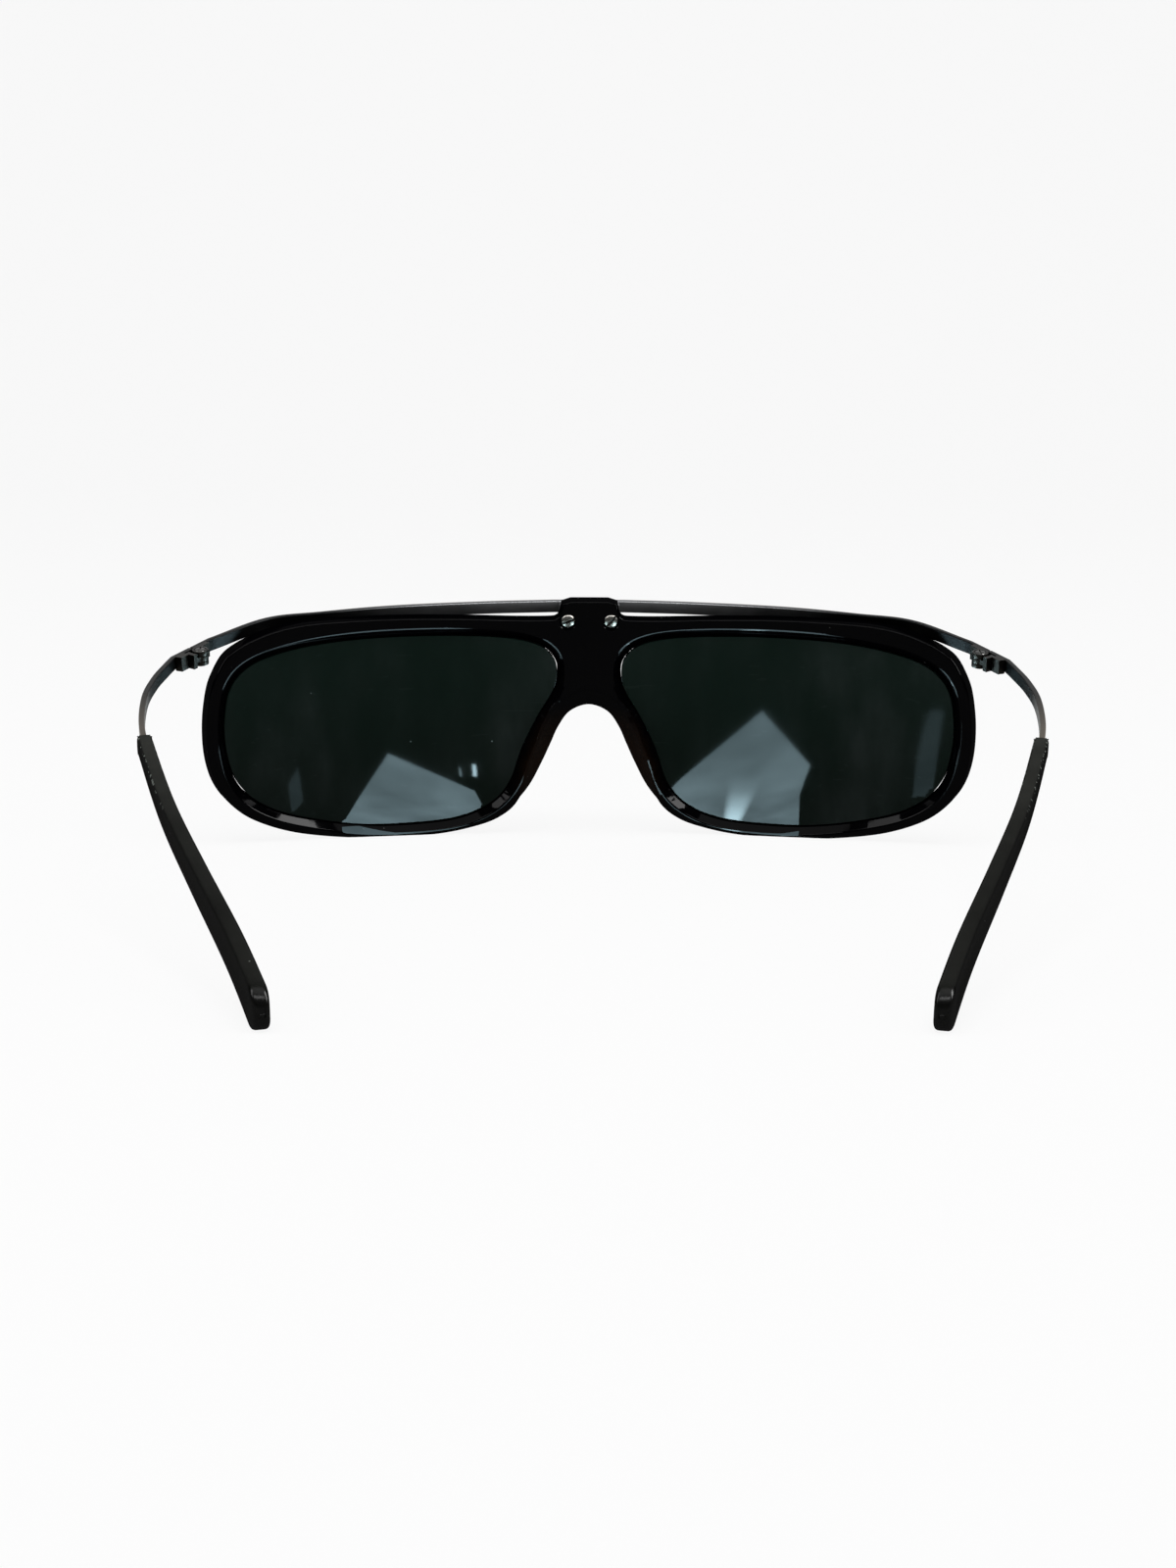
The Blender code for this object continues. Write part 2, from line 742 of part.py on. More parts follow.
def hinge_screw(frame):
    """The left hinge's screw, its slotted head sunk in the upper knuckle."""
    half = HINGE_HEIGHT / 2
    seat = half - PIN_HEAD_HEIGHT
    profile = (
        (PIN_RADIUS, -half + PIN_FIT),
        (PIN_RADIUS, seat),
        (PIN_HEAD_RADIUS, seat),
        (PIN_HEAD_RADIUS, half - PIN_SLOT_DEPTH / 2),
        (PIN_HEAD_RADIUS - PIN_SLOT_DEPTH / 2, half),
    )
    made = turned(profile)
    return placed(slotted(made, PIN_SLOT_WIDTH, PIN_SLOT_DEPTH, half, HINGE_TURN), frame)


def bridge_screw_frame(side):
    """Puts a screw built along Z on its hole in the tab, with its head behind."""
    lean = Matrix.Rotation(-math.pi / 2, 4, "X")
    return Matrix.Translation((side * SCREW_SPACING / 2, 0, -SCREW_DROP)) @ lean


def tab_rear():
    """How far the tab's rear face is behind the bar's outer face, on the screws' line."""
    thick = FRONT_THICKNESS + BAR_STANDOFF + BAR_THICKNESS
    return (thick + SCREW_DROP * math.sin(FACE_TILT)) / math.cos(FACE_TILT)


def bridge_screw(side, turn):
    """One bridge screw: a domed, slotted head and a shank that ends in the plate."""
    seat = tab_rear() - SCREW_RECESS + SCREW_FIT
    top = seat + SCREW_HEAD_HEIGHT
    brim = top - SCREW_DOME_HEIGHT
    end = BAR_THICKNESS + BRAZE_GAP + SCREW_FIT
    profile = [(SCREW_SHANK_RADIUS, end), (SCREW_SHANK_RADIUS, seat), (SCREW_HEAD_RADIUS, seat)]
    profile += [(a * SCREW_HEAD_RADIUS, brim + b * SCREW_DOME_HEIGHT) for a, b in DOME_SHARES]
    made = slotted(turned(profile), SLOT_WIDTH, SLOT_DEPTH, top, turn)
    return placed(made, bridge_screw_frame(side))


def plate_outline(grow):
    """The bridge plate's outline with its corners taken off, grown for its pocket."""
    a = PLATE_WIDTH / 2 + grow
    top = BAR_HEIGHT / 2 + grow
    low = -BAR_HEIGHT / 2 - PLATE_DROP - grow
    c = PLATE_CORNER
    right = [(a - c, low), (a, low + c), (a, top - c), (a - c, top)]
    return right + [(-x, z) for x, z in reversed(right)]


def plate_body(grow, front, rear):
    """The plate's outline given a thickness, standing upright behind the bar."""
    return loft([[(x, y, z) for x, z in plate_outline(grow)] for y in (front, rear)])


def bridge_plate():
    """The plate brazed behind the bar's middle, drilled for the two screws."""
    front = BAR_THICKNESS + BRAZE_GAP
    rear = front + PLATE_THICKNESS
    holes = []
    for side in (1, -1):
        hole = disc(SCREW_SHANK_RADIUS + SCREW_FIT, front - CUT_OVERRUN, rear + CUT_OVERRUN)
        holes.append(placed(hole, bridge_screw_frame(side)))
    return carved(plate_body(0.0, front, rear), holes)


def front_cutters():
    """What the front loses once it is wrapped: the plate's pocket and the stepped screw holes."""
    floor = BAR_THICKNESS + BRAZE_GAP + PLATE_THICKNESS + POCKET_FIT
    rear = tab_rear()
    seat = rear - SCREW_RECESS
    cutters = [plate_body(POCKET_FIT, -CUT_OVERRUN, floor)]
    for side in (1, -1):
        frame = bridge_screw_frame(side)
        shank = disc(SCREW_SHANK_RADIUS + SCREW_FIT, floor - CUT_OVERRUN, rear)
        head = disc(SCREW_HEAD_RADIUS + SCREW_FIT, seat, rear + CUT_OVERRUN)
        cutters += [placed(shank, frame), placed(head, frame)]
    return cutters


def placed(bm, frame):
    """The body moved by a frame."""
    bm.transform(frame)
    return bm


def upward(tip):
    """The way that points up from the ground, seen in the worn frame."""
    return Vector((0, -math.sin(tip), math.cos(tip)))


def lowest(bm, tip):
    """The body's lowest vertex once it is tipped back by an angle."""
    return min((vert.co for vert in bm.verts), key=upward(tip).dot).copy()


def resting_tip(front, tips):
    """The angle that brings the flats of the rims and of the temple tips down to one level."""
    tip = FACE_TILT
    for _ in range(REST_ROUNDS):
        rim = lowest(front, tip) + upward(tip) * FRONT_LAND_DEPTH
        end = lowest(tips, tip) + upward(tip) * TIP_LAND_DEPTH
        tip = math.atan2(end.z - rim.z, end.y - rim.y)
    return tip


def flatten_foot(bm, tip, depth):
    """Cut a flat where the body meets the surface that it stands on. Returns the flat's level."""
    up = upward(tip)
    level = up.dot(lowest(bm, tip)) + depth
    geometry = bm.verts[:] + bm.edges[:] + bm.faces[:]
    made = bmesh.ops.bisect_plane(
        bm, geom=geometry, plane_co=up * level, plane_no=-up, clear_outer=True
    )
    edges = [item for item in made["geom_cut"] if isinstance(item, bmesh.types.BMEdge)]
    bmesh.ops.holes_fill(bm, edges=edges, sides=0)
    bmesh.ops.recalc_face_normals(bm, faces=bm.faces[:])
    return level


def empty(name, place, parent=None):
    """A frame that pieces hang from."""
    made = bpy.data.objects.new(name, None)
    bpy.context.scene.collection.objects.link(made)
    made.empty_display_size = BARREL_RADIUS
    made.location = place
    made.parent = parent
    return made


def add(name, bm, material, parent, origin=Vector((0, 0, 0)), cutters=()):
    """One named piece under its frame, with its own material and cutters."""
    bm.transform(Matrix.Translation(-origin))
    obj = object_of(name, bm)
    obj.parent = parent
    obj.data.materials.append(material)
    for cutter in cutters:
        cutter.transform(Matrix.Translation(-origin))
        cut(obj, cutter)
    return obj


def centre(stand):
    """Move the stand so that the object's box is centred over the origin."""
    bpy.context.view_layer.update()
    shown = [obj for obj in bpy.data.objects if obj.type == "MESH" and not obj.hide_render]
    depths = [(obj.matrix_world @ vert.co).y for obj in shown for vert in obj.data.vertices]
    stand.location.y = -(min(depths) + max(depths)) / 2


def main():
    clear_scene()
    acetate = finish("black_acetate", (0.013, 0.011, 0.011), 0.14, coat=0.3)
    tint = finish("green_grey_lens", (0.020, 0.034, 0.030), 0.05)
    bronze = finish("gunmetal", (0.22, 0.21, 0.20), 0.34, metallic=1.0)
    steel = finish("steel", (0.62, 0.61, 0.58), 0.28, metallic=1.0)

    blank = carved(front_blank(), [aperture(1), aperture(-1)])
    raise_pads(blank)
    front = wrap(blank, BEND_SLICES)
    sleeve_body = sleeve()
    tip = resting_tip(front, sleeve_body)
    level = flatten_foot(front, tip, FRONT_LAND_DEPTH)
    flatten_foot(sleeve_body, tip, TIP_LAND_DEPTH)

    stand = empty("stand", (0, 0, -level))
    stand.rotation_euler = (-tip, 0, 0)

    add("front_frame", front, acetate, stand, cutters=front_cutters())
    add("brow_bar", brow_bar(), bronze, stand)
    add("bridge_plate", bridge_plate(), bronze, stand)
    frame = hinge_frame()
    pieces = {
        "hinge_front": (front_leaf(frame), bronze, False),
        "hinge_screw": (hinge_screw(frame), steel, False),
        "hinge_temple": (temple_leaf(frame), bronze, True),
        "temple_bar": (temple_bar(), bronze, True),
        "temple_tip": (sleeve_body, acetate, True),
    }
    for side, label in ((1, "left"), (-1, "right")):
        add("lens_" + label, wrap(lens(side)), tint, stand)
        turn = SLOT_TURN_LEFT if side > 0 else SLOT_TURN_RIGHT
        add("bridge_screw_" + label, bridge_screw(side, turn), steel, stand)
        axis = Vector((side * frame.translation.x, frame.translation.y, 0))
        temple = empty("temple_axis_" + label, axis, stand)
        for name, (bm, material, moves) in pieces.items():
            body = bm.copy() if side > 0 else mirrored(bm)
            slots = ()
            if name == "temple_tip":
                slots = (core_slot() if side > 0 else mirrored(core_slot()),)
            if moves:
                add(f"{name}_{label}", body, material, temple, axis, slots)
            else:
                add(f"{name}_{label}", body, material, stand)
    centre(stand)
    print("tipped back by", round(math.degrees(tip), 2), "degrees")


main()
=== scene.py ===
"""The looks of a pair of sunglasses.

A wrapped acetate front hangs from a metal brow bar, on folding temples. Every piece is built in the
worn position, where the brow bar and the temples lie in one level plane. It is then tipped back to
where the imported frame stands, on its rims and temple tips. Lengths are in metres. X runs across the
face, +Y is behind the lenses and +Z is up.
"""

import json
import logging
import math
from collections.abc import Callable, Iterable, Sequence
from dataclasses import dataclass
from enum import Enum
from typing import Any

import bmesh
import bpy
from bmesh.types import BMEdge, BMesh, BMFace, BMVert
from bpy.types import Material, NodeSocket, Object, World
from mathutils import Matrix, Vector


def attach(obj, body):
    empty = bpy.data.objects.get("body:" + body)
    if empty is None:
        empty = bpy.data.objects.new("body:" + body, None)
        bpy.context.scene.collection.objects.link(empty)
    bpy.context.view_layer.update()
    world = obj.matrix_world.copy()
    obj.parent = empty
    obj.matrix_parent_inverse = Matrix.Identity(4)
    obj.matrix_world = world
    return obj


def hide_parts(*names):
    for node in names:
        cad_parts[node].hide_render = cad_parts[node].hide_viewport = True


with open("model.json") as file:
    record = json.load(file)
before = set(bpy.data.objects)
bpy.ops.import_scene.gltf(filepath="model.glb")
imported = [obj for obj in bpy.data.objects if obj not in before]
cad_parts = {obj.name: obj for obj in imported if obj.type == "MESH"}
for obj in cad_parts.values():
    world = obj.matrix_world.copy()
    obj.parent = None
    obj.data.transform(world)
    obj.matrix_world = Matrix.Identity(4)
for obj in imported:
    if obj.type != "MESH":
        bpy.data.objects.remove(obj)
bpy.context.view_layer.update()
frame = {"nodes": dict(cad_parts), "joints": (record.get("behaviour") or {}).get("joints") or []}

LOG = logging.getLogger("sunglasses")
MERGE = 0.000001
# Angles between two faces: hardly any, enough for the edge to show, and a corner.
FLAT, SHARP, STEEP = (math.radians(angle) for angle in (0.5, 32.0, 60.0))
QUARTER = math.pi / 2
ACROSS, BEHIND, UP = Vector((1, 0, 0)), Vector((0, 1, 0)), Vector((0, 0, 1))

Triple = tuple[float, float, float]
Pairs = tuple[tuple[float, float], ...]


class Side(Enum):
    """The wearer's left and right, as the sign of X."""

    LEFT = 1
    RIGHT = -1

    @property
    def word(self) -> str:
        """The side's name as the nodes spell it."""
        return self.name.lower()


class Slot(Enum):
    """The record's material slots."""

    ACETATE = "black_acetate"
    LENS = "green_grey_lens"
    GUNMETAL = "gunmetal"
    STEEL = "steel"


# ---- Outlines


def smooth(points: Iterable[Sequence[float]], steps: int, closed: bool = False) -> list[Vector]:
    """Draw a curve through the points.

    Args:
        points: What the curve passes through, in order.
        steps: How many steps each span is divided into.
        closed: Whether the last point joins the first.

    Returns:
        The points of the curve.
    """
    knots = [Vector(point) for point in points]
    if closed:
        knots = [knots[-1], *knots, knots[0], knots[1]]
    else:
        knots = [2 * knots[0] - knots[1], *knots, 2 * knots[-1] - knots[-2]]
    curve = []
    for before, start, end, after in zip(knots, knots[1:], knots[2:], knots[3:]):
        for step in range(steps):
            share = step / steps
            bend = 2 * before - 5 * start + 4 * end - after
            curve.append(
                start
                + (end - before) * share / 2
                + bend * share**2 / 2
                + (3 * start - before - 3 * end + after) * share**3 / 2
            )
    return curve if closed else [*curve, knots[-2]]


def inward(outline: Sequence[Vector]) -> list[Vector]:
    """Find the unit normal that points into a closed clockwise outline, at each of its points."""
    found = []
    for before, after in zip([outline[-1], *outline], [*outline[1:], outline[0]]):
        run = (after.to_2d() - before.to_2d()).normalized()
        found.append(Vector((run.y, -run.x)))
    return found


def flipped(line: Sequence[Vector]) -> list[Vector]:
    """Draw a line on the other side of the face, from its end to its start."""
    return [Vector((-point.x, *point[1:])) for point in reversed(line)]


@dataclass(frozen=True)
class Layout:
    """Driving sizes and outlines of the sunglasses, flat or in the worn position.

    The tables give outline points as shares of a size, and shares are never lengths.
    """

    lens_width: float = 0.0629
    lens_height: float = 0.0364
    lens_spacing: float = 0.0120
    thickness: float = 0.0040
    rim_top: float = 0.0036
    rim_side: float = 0.0036
    rim_bottom: float = 0.0023
    wrap_radius: float = 0.190
    face_tilt: float = math.radians(9.0)
    bridge_depth: float = 0.0179
    nose_flare: float = 0.0077
    tab_half_width: float = 0.0035
    tab_corner: float = 0.0017
    tab_corner_drop: float = 0.00055
    tab_rise: float = 0.00265
    tab_flare: float = 0.0024
    tab_dip: float = 0.00085
    bar_height: float = 0.0023
    bar_thickness: float = 0.0010
    bar_level_drop: float = 0.00195
    bar_standoff: float = 0.00045
    plate_width: float = 0.0112
    hinge_outset: float = 0.00145
    hinge_setback: float = 0.0103
    hinge_turn: float = math.radians(33.0)
    hinge_straight: float = 0.0052
    barrel_radius: float = 0.00145
    barrel_gap: float = 0.00015
    butt_gap: float = 0.00016
    temple_reach: float = 0.1310
    temple_turn_in: float = 0.0242

    lens_shares: Pairs = (
        (0.000, 0.766), (0.008, 0.865), (0.062, 0.945), (0.183, 0.986), (0.426, 1.000),
        (0.657, 0.989), (0.824, 0.950), (0.928, 0.885), (0.982, 0.778), (1.000, 0.624),
        (0.998, 0.472), (0.975, 0.319), (0.925, 0.203), (0.835, 0.110), (0.696, 0.041),
        (0.552, 0.004), (0.405, 0.003), (0.286, 0.030), (0.194, 0.102), (0.140, 0.212),
        (0.103, 0.390), (0.057, 0.555), (0.016, 0.679),
    )
    flare_shares: Pairs = ((0.15, 0.24), (0.37, -0.65), (1.00, -1.00))
    rim_shares: Pairs = (
        (0.193, 0.981), (0.331, 0.991), (0.510, 1.000), (0.690, 0.998), (0.770, 0.987),
        (0.822, 0.969), (0.862, 0.947), (0.903, 0.918), (0.943, 0.871), (0.972, 0.791),
        (0.989, 0.708), (1.000, 0.567), (0.997, 0.421), (0.977, 0.298), (0.938, 0.203),
        (0.876, 0.123), (0.772, 0.054), (0.634, 0.013), (0.497, 0.000), (0.386, 0.008),
        (0.297, 0.036), (0.237, 0.073),
    )
    nose_shares: tuple[tuple[float, float, float], ...] = (
        (1.000, 0.225, 0.10), (0.803, 0.361, 0.45), (0.635, 0.545, 0.75), (0.518, 0.693, 0.80),
        (0.412, 0.828, 0.85), (0.255, 0.947, 0.90), (0.000, 1.000, 1.00), (-0.255, 0.947, 0.90),
    )
    bar_shares: Pairs = (
        (0.27, 0.040), (0.506, 0.132), (0.69, 0.266), (0.829, 0.401),
    )
    temple_shares: Pairs = (
        (0.155, 0.060), (0.210, 0.106), (0.238, 0.168), (0.196, 0.258), (0.081, 0.351),
        (-0.154, 0.512), (-0.443, 0.677), (-0.764, 0.854), (-1.000, 1.000),
    )

    @property
    def half_width(self) -> float:
        """Half the flat front's width."""
        return self.lens_spacing / 2 + self.lens_width + self.rim_side

    @property
    def rim_height(self) -> float:
        """The flat rims' height."""
        return self.rim_bottom + self.lens_height + self.rim_top

    @property
    def nose_height(self) -> float:
        """The height of the nose opening's top above the rims' foot."""
        return self.rim_height - self.bridge_depth

    @property
    def nose_half_width(self) -> float:
        """Half the nose opening's width at its foot."""
        return self.lens_spacing / 2 + self.nose_flare

    @property
    def tab_top(self) -> float:
        """The height of the tab's top above the rims' foot."""
        return self.rim_height + self.tab_rise

    @property
    def bar_level(self) -> float:
        """The height of the bar's middle above the rims' foot."""
        return self.tab_top - self.bar_level_drop

    @property
    def bar_face(self) -> float:
        """How far the front's middle plane is behind the bar's outer face."""
        return self.thickness / 2 + self.bar_standoff + self.bar_thickness

    @property
    def lens_middle(self) -> Vector:
        """The middle of the flat left lens, across and up."""
        across = (self.lens_spacing + self.lens_width) / 2
        return Vector((across, self.rim_bottom + self.lens_height / 2))

    def lens_outline(self, steps: int) -> list[Vector]:
        """Draw the seen edge of the flat left lens, clockwise, across and up."""
        start = self.lens_spacing / 2
        shaped = [
            (start + a * self.lens_width, self.rim_bottom + b * self.lens_height)
            for a, b in self.lens_shares
        ]
        return smooth(shaped, steps, closed=True)

    def front_outline(self, steps: int) -> list[Vector]:
        """Draw the flat front's left half, from the middle of the tab's top to the nose arch.

        Returns:
            Points across and up, with the share of the nose's splay as their third number.
        """
        shoulder = self.tab_half_width + self.tab_corner
        top = self.tab_top
        tab = [(0.0, top, 0.0), (self.tab_half_width, top, 0.0)]
        tab.append((shoulder, top - self.tab_corner_drop, 0.0))
        run = [
            (shoulder + a * self.tab_flare, self.rim_height + b * self.tab_dip, 0.0)
            for a, b in self.flare_shares
        ]
        run += [(a * self.half_width, b * self.rim_height, 0.0) for a, b in self.rim_shares]
        run += [
            (a * self.nose_half_width, b * self.nose_height, c) for a, b, c in self.nose_shares
        ]
        return [Vector(point) for point in tab] + smooth(run, steps)[:-steps]

    def bent(self, point: Vector) -> Vector:
        """Wrap a flat point about the upright axis behind the front."""
        turn = point.x / self.wrap_radius
        reach = self.wrap_radius - point.y
        across, behind = reach * math.sin(turn), self.wrap_radius - reach * math.cos(turn)
        return Vector((across, behind, point.z))

    @property
    def hang(self) -> Matrix:
        """Hangs the wrapped front behind the brow bar."""
        tilt = Matrix.Rotation(self.face_tilt, 4, "X")
        return tilt @ Matrix.Translation((0.0, self.bar_face, -self.bar_level))

    def seam(self) -> tuple[Vector, Vector]:
        """Find where the bar's outer face meets the left temple's, and the way that they run."""
        end = self.bent(Vector((self.half_width, 0.0, 0.0)))
        place = Vector((end.x + self.hinge_outset, end.y + self.hinge_setback))
        return place, Vector((math.sin(self.hinge_turn), math.cos(self.hinge_turn)))

    @property
    def hinge_axis(self) -> Vector:
        """The left hinge's axis in the worn position."""
        place, run = self.seam()
        inset = self.bar_thickness + self.barrel_gap + self.barrel_radius
        return (place + Vector((-run.y, run.x)) * inset).to_3d()

    def bar_path(self, steps: int) -> list[Vector]:
        """Draw the bar's outer face from the right hinge round to the left one, from above."""
        place, run = self.seam()
        flat = (self.plate_width / 2 + self.bar_thickness, 0.0)
        shaped = [(a * place.x, b * place.y) for a, b in self.bar_shares]
        half = smooth([flat, *shaped, place - run * self.hinge_straight], steps)
        half.append(place - run * self.butt_gap / 2)
        return flipped(half) + half

    def temple_path(self, steps: int) -> list[Vector]:
        """Draw the left temple's outer face from its hinge to its tip, from above."""
        place, run = self.seam()
        shaped = [
            (place.x + a * self.temple_turn_in, place.y + b * self.temple_reach)
            for a, b in self.temple_shares
        ]
        curve = smooth([place + run * self.hinge_straight, *shaped], steps)
        return [place + run * self.butt_gap / 2, *curve]


class Path:
    """A line seen from above, with places found by their distance along it."""

    def __init__(self, points: Sequence[Vector]) -> None:
        """Mark each point with its distance along the line."""
        self.points = list(points)
        self.marks = [0.0]
        for before, after in zip(points, points[1:]):
            self.marks.append(self.marks[-1] + (after - before).length)

    @property
    def length(self) -> float:
        """The whole length of the line."""
        return self.marks[-1]

    def place(self, distance: float) -> Vector:
        """The point at a distance along the line."""
        last = len(self.points) - 2
        span = next((i for i in range(last) if distance <= self.marks[i + 1]), last)
        share = (distance - self.marks[span]) / (self.marks[span + 1] - self.marks[span])
        return self.points[span].lerp(self.points[span + 1], min(share, 1.0))

    def run(self, distance: float, reach: float) -> Vector:
        """The line's direction at a distance, judged over a reach to each side."""
        before = self.place(max(distance - reach, 0.0))
        after = self.place(min(distance + reach, self.length))
        return (after - before).normalized()


# ---- Shader wiring


def operator(operation: str, swapped: bool = False) -> Callable[["Wire", Any], "Wire"]:
    """Make an arithmetic method of Wire.

    Args:
        operation: What the Math node does.
        swapped: Whether the wire is the second of its two values.

    Returns:
        The method.
    """

    def method(self: "Wire", other: Any) -> "Wire":
        """Add one Math node."""
        first, second = (other, self) if swapped else (self, other)
        return self.sheet.node("ShaderNodeMath", {0: first, 1: second}, operation=operation)

    return method


class Wire:
    """A node's output, with arithmetic that adds Math nodes to its sheet."""

    __add__, __radd__ = operator("ADD"), operator("ADD", swapped=True)
    __sub__, __rsub__ = operator("SUBTRACT"), operator("SUBTRACT", swapped=True)
    __mul__, __rmul__ = operator("MULTIPLY"), operator("MULTIPLY", swapped=True)
    __pow__ = operator("POWER")
    __lt__, __gt__ = operator("LESS_THAN"), operator("GREATER_THAN")

    def __init__(self, sheet: "NodeSheet", socket: NodeSocket) -> None:
        """Hold the sheet and the output."""
        self.sheet = sheet
        self.socket = socket

    def out(self, name: str) -> "Wire":
        """Take another output of the same node."""
        return Wire(self.sheet, self.socket.node.outputs[name])


class NodeSheet:
    """The nodes of one material or world, and the few ways in which they are added."""

    def __init__(self, owner: Material | World) -> None:
        """Start with no nodes."""
        owner.use_nodes = True
        self.owner = owner
        self.tree = owner.node_tree
        self.tree.nodes.clear()

    @classmethod
    def of_material(cls, name: str, tint: Triple) -> "NodeSheet":
        """Start a new material, with the tint that a plain view shows."""
        material = bpy.data.materials.new(name)
        material.diffuse_color = (*tint, 1.0)
        return cls(material)

    def node(
        self, kind: str, sockets: dict[Any, Any] | None = None, **settings: Any
    ) -> Wire | None:
        """Add one node.

        Args:
            kind: The node's type.
            sockets: Values or wires for its inputs, by name or number.
            settings: What is set on the node before its inputs.

        Returns:
            The node's first output that is in use, or None where it has no outputs.
        """
        made = self.tree.nodes.new(kind)
        for name, value in settings.items():
            setattr(made, name, value)
        for name, value in (sockets or {}).items():
            if isinstance(value, Wire):
                self.tree.links.new(value.socket, made.inputs[name])
            else:
                made.inputs[name].default_value = value
        shown = [socket for socket in made.outputs if socket.enabled]
        return Wire(self, shown[0]) if shown else None

    def place(self, squeeze: Triple = (1.0, 1.0, 1.0), turn: float = 0.0) -> Wire:
        """Object coordinates, turned about X and then scaled."""
        here = self.node("ShaderNodeTexCoord").out("Object")
        sockets = {"Vector": here, "Rotation": (turn, 0.0, 0.0), "Scale": squeeze}
        return self.node("ShaderNodeMapping", sockets)

    def axis(self, vector: Wire, name: str) -> Wire:
        """One axis of a vector."""
        return self.node("ShaderNodeSeparateXYZ", {0: vector}).out(name)

    def facing_up(self) -> Wire:
        """How far the surface faces up, from -1 to 1."""
        return self.axis(self.node("ShaderNodeTexCoord").out("Normal"), "Z")

    def painted(self, name: str) -> Wire:
        """A mask that is painted on the mesh."""
        return self.node("ShaderNodeAttribute", attribute_name=name).out("Fac")

    def between(self, value: Wire, none: float, full: float) -> Wire:
        """Rise from 0 to 1 as a value goes from one bound to the other."""
        sockets = {0: value, 1: none, 2: full, 3: 0.0, 4: 1.0}
        return self.node("ShaderNodeMapRange", sockets, interpolation_type="SMOOTHSTEP")

    def blend(self, factor: Wire, first: Wire | Triple, second: Triple) -> Wire:
        """Mix two colours."""
        base = first if isinstance(first, Wire) else (*first, 1.0)
        sockets = {"Factor": factor, 6: base, 7: (*second, 1.0)}
        return self.node("ShaderNodeMix", sockets, data_type="RGBA").out("Result")

    def bump(self, height: Wire, strength: float, distance: float) -> Wire:
        """A bump normal from a height."""
        sockets = {"Height": height, "Strength": strength, "Distance": distance}
        return self.node("ShaderNodeBump", sockets)

    def sheen(self, strength: float, marks: Wire) -> Wire:
        """A coat's weight: less on marks and at a slant, where a polished edge would turn white."""
        slant = self.node("ShaderNodeLayerWeight", {"Blend": 0.5}).out("Facing")
        return (1.0 - slant) * strength * (1.0 - marks)

    def glow(self, colour: Triple, strength: Wire | float) -> Wire:
        """A shader that gives light off."""
        return self.node("ShaderNodeEmission", {"Color": (*colour, 1.0), "Strength": strength})

    def surface(self, shader: Wire, output: str = "ShaderNodeOutputMaterial") -> Material | World:
        """Join the shader to the output."""
        self.node(output, {"Surface": shader})
        return self.owner

    def principled(self, **sockets: Any) -> Material:
        """Finish the material with one Principled shader, with sockets named in words_joined."""
        named = {name.replace("_", " "): value for name, value in sockets.items()}
        return self.surface(self.node("ShaderNodeBsdfPrincipled", named))


@dataclass(frozen=True)
class Clouds:
    """Cloudy noise in a space that is squeezed and turned about X."""

    scale: float
    detail: float = 2.0
    squeeze: Triple = (1.0, 1.0, 1.0)
    turn: float = 0.0

    def on(self, sheet: NodeSheet) -> Wire:
        """Add the noise to a sheet."""
        sockets = {"Vector": sheet.place(self.squeeze, self.turn)}
        sockets |= {"Scale": self.scale, "Detail": self.detail}
        return sheet.node("ShaderNodeTexNoise", sockets)


@dataclass(frozen=True)
class Specks:
    """Sparse round specks, one at most in each cell, in a share of the cells."""

    scale: float
    radius: float
    share: float

    def on(self, sheet: NodeSheet) -> Wire:
        """Add a mask of the specks to a sheet."""
        cells = sheet.node("ShaderNodeTexVoronoi", {"Vector": sheet.place(), "Scale": self.scale})
        chosen = sheet.node("ShaderNodeSeparateColor", {0: cells.out("Color")})
        return (cells.out("Distance") < self.radius) * (chosen < self.share)


def patchy(mask: Wire, clouds: Wire, least: float, more: float) -> Wire:
    """Break a mask up, with its least share where there is no cloud and more where there is."""
    return mask * (least + more * clouds)


# ---- Finishes


@dataclass(frozen=True)
class AcetateFinish:
    """Polished black acetate, brown where it is thin, with faint smears and a little dust."""

    name: str = "polished_black_acetate"
    black: Triple = (0.0007, 0.0007, 0.0010)
    brown: Triple = (0.0125, 0.0058, 0.0024)
    dusty: Triple = (0.10, 0.10, 0.095)
    smears: Clouds = Clouds(75.0, 3.0)
    mottle: Clouds = Clouds(160.0)
    grain: Clouds = Clouds(900.0)
    dust: Specks = Specks(520.0, 0.085, 0.05)
    dust_cover: float = 0.5
    polish: float = 0.045
    smear_dulls: float = 0.12
    dust_dulls: float = 0.25
    gloss: float = 0.052
    gloss_lost: float = 0.5
    smear_relief: float = 0.6

    def material(self) -> Material:
        """Build the material."""
        sheet = NodeSheet.of_material(self.name, self.black)
        smears, dust = self.smears.on(sheet), self.dust.on(sheet)
        thin = patchy(sheet.painted("thin"), self.mottle.on(sheet), least=0.7, more=0.4)
        tinged = sheet.blend(thin, self.black, self.brown)
        relief = self.grain.on(sheet) + self.smear_relief * smears
        return sheet.principled(
            Base_Color=sheet.blend(dust * self.dust_cover, tinged, self.dusty),
            Roughness=self.polish + self.smear_dulls * smears**2 + self.dust_dulls * dust,
            Specular_IOR_Level=0.0,
            Coat_Weight=sheet.sheen(self.gloss, self.gloss_lost * smears**2),
            Coat_Roughness=self.polish,
            Normal=sheet.bump(relief, strength=0.012, distance=0.0001),
        )


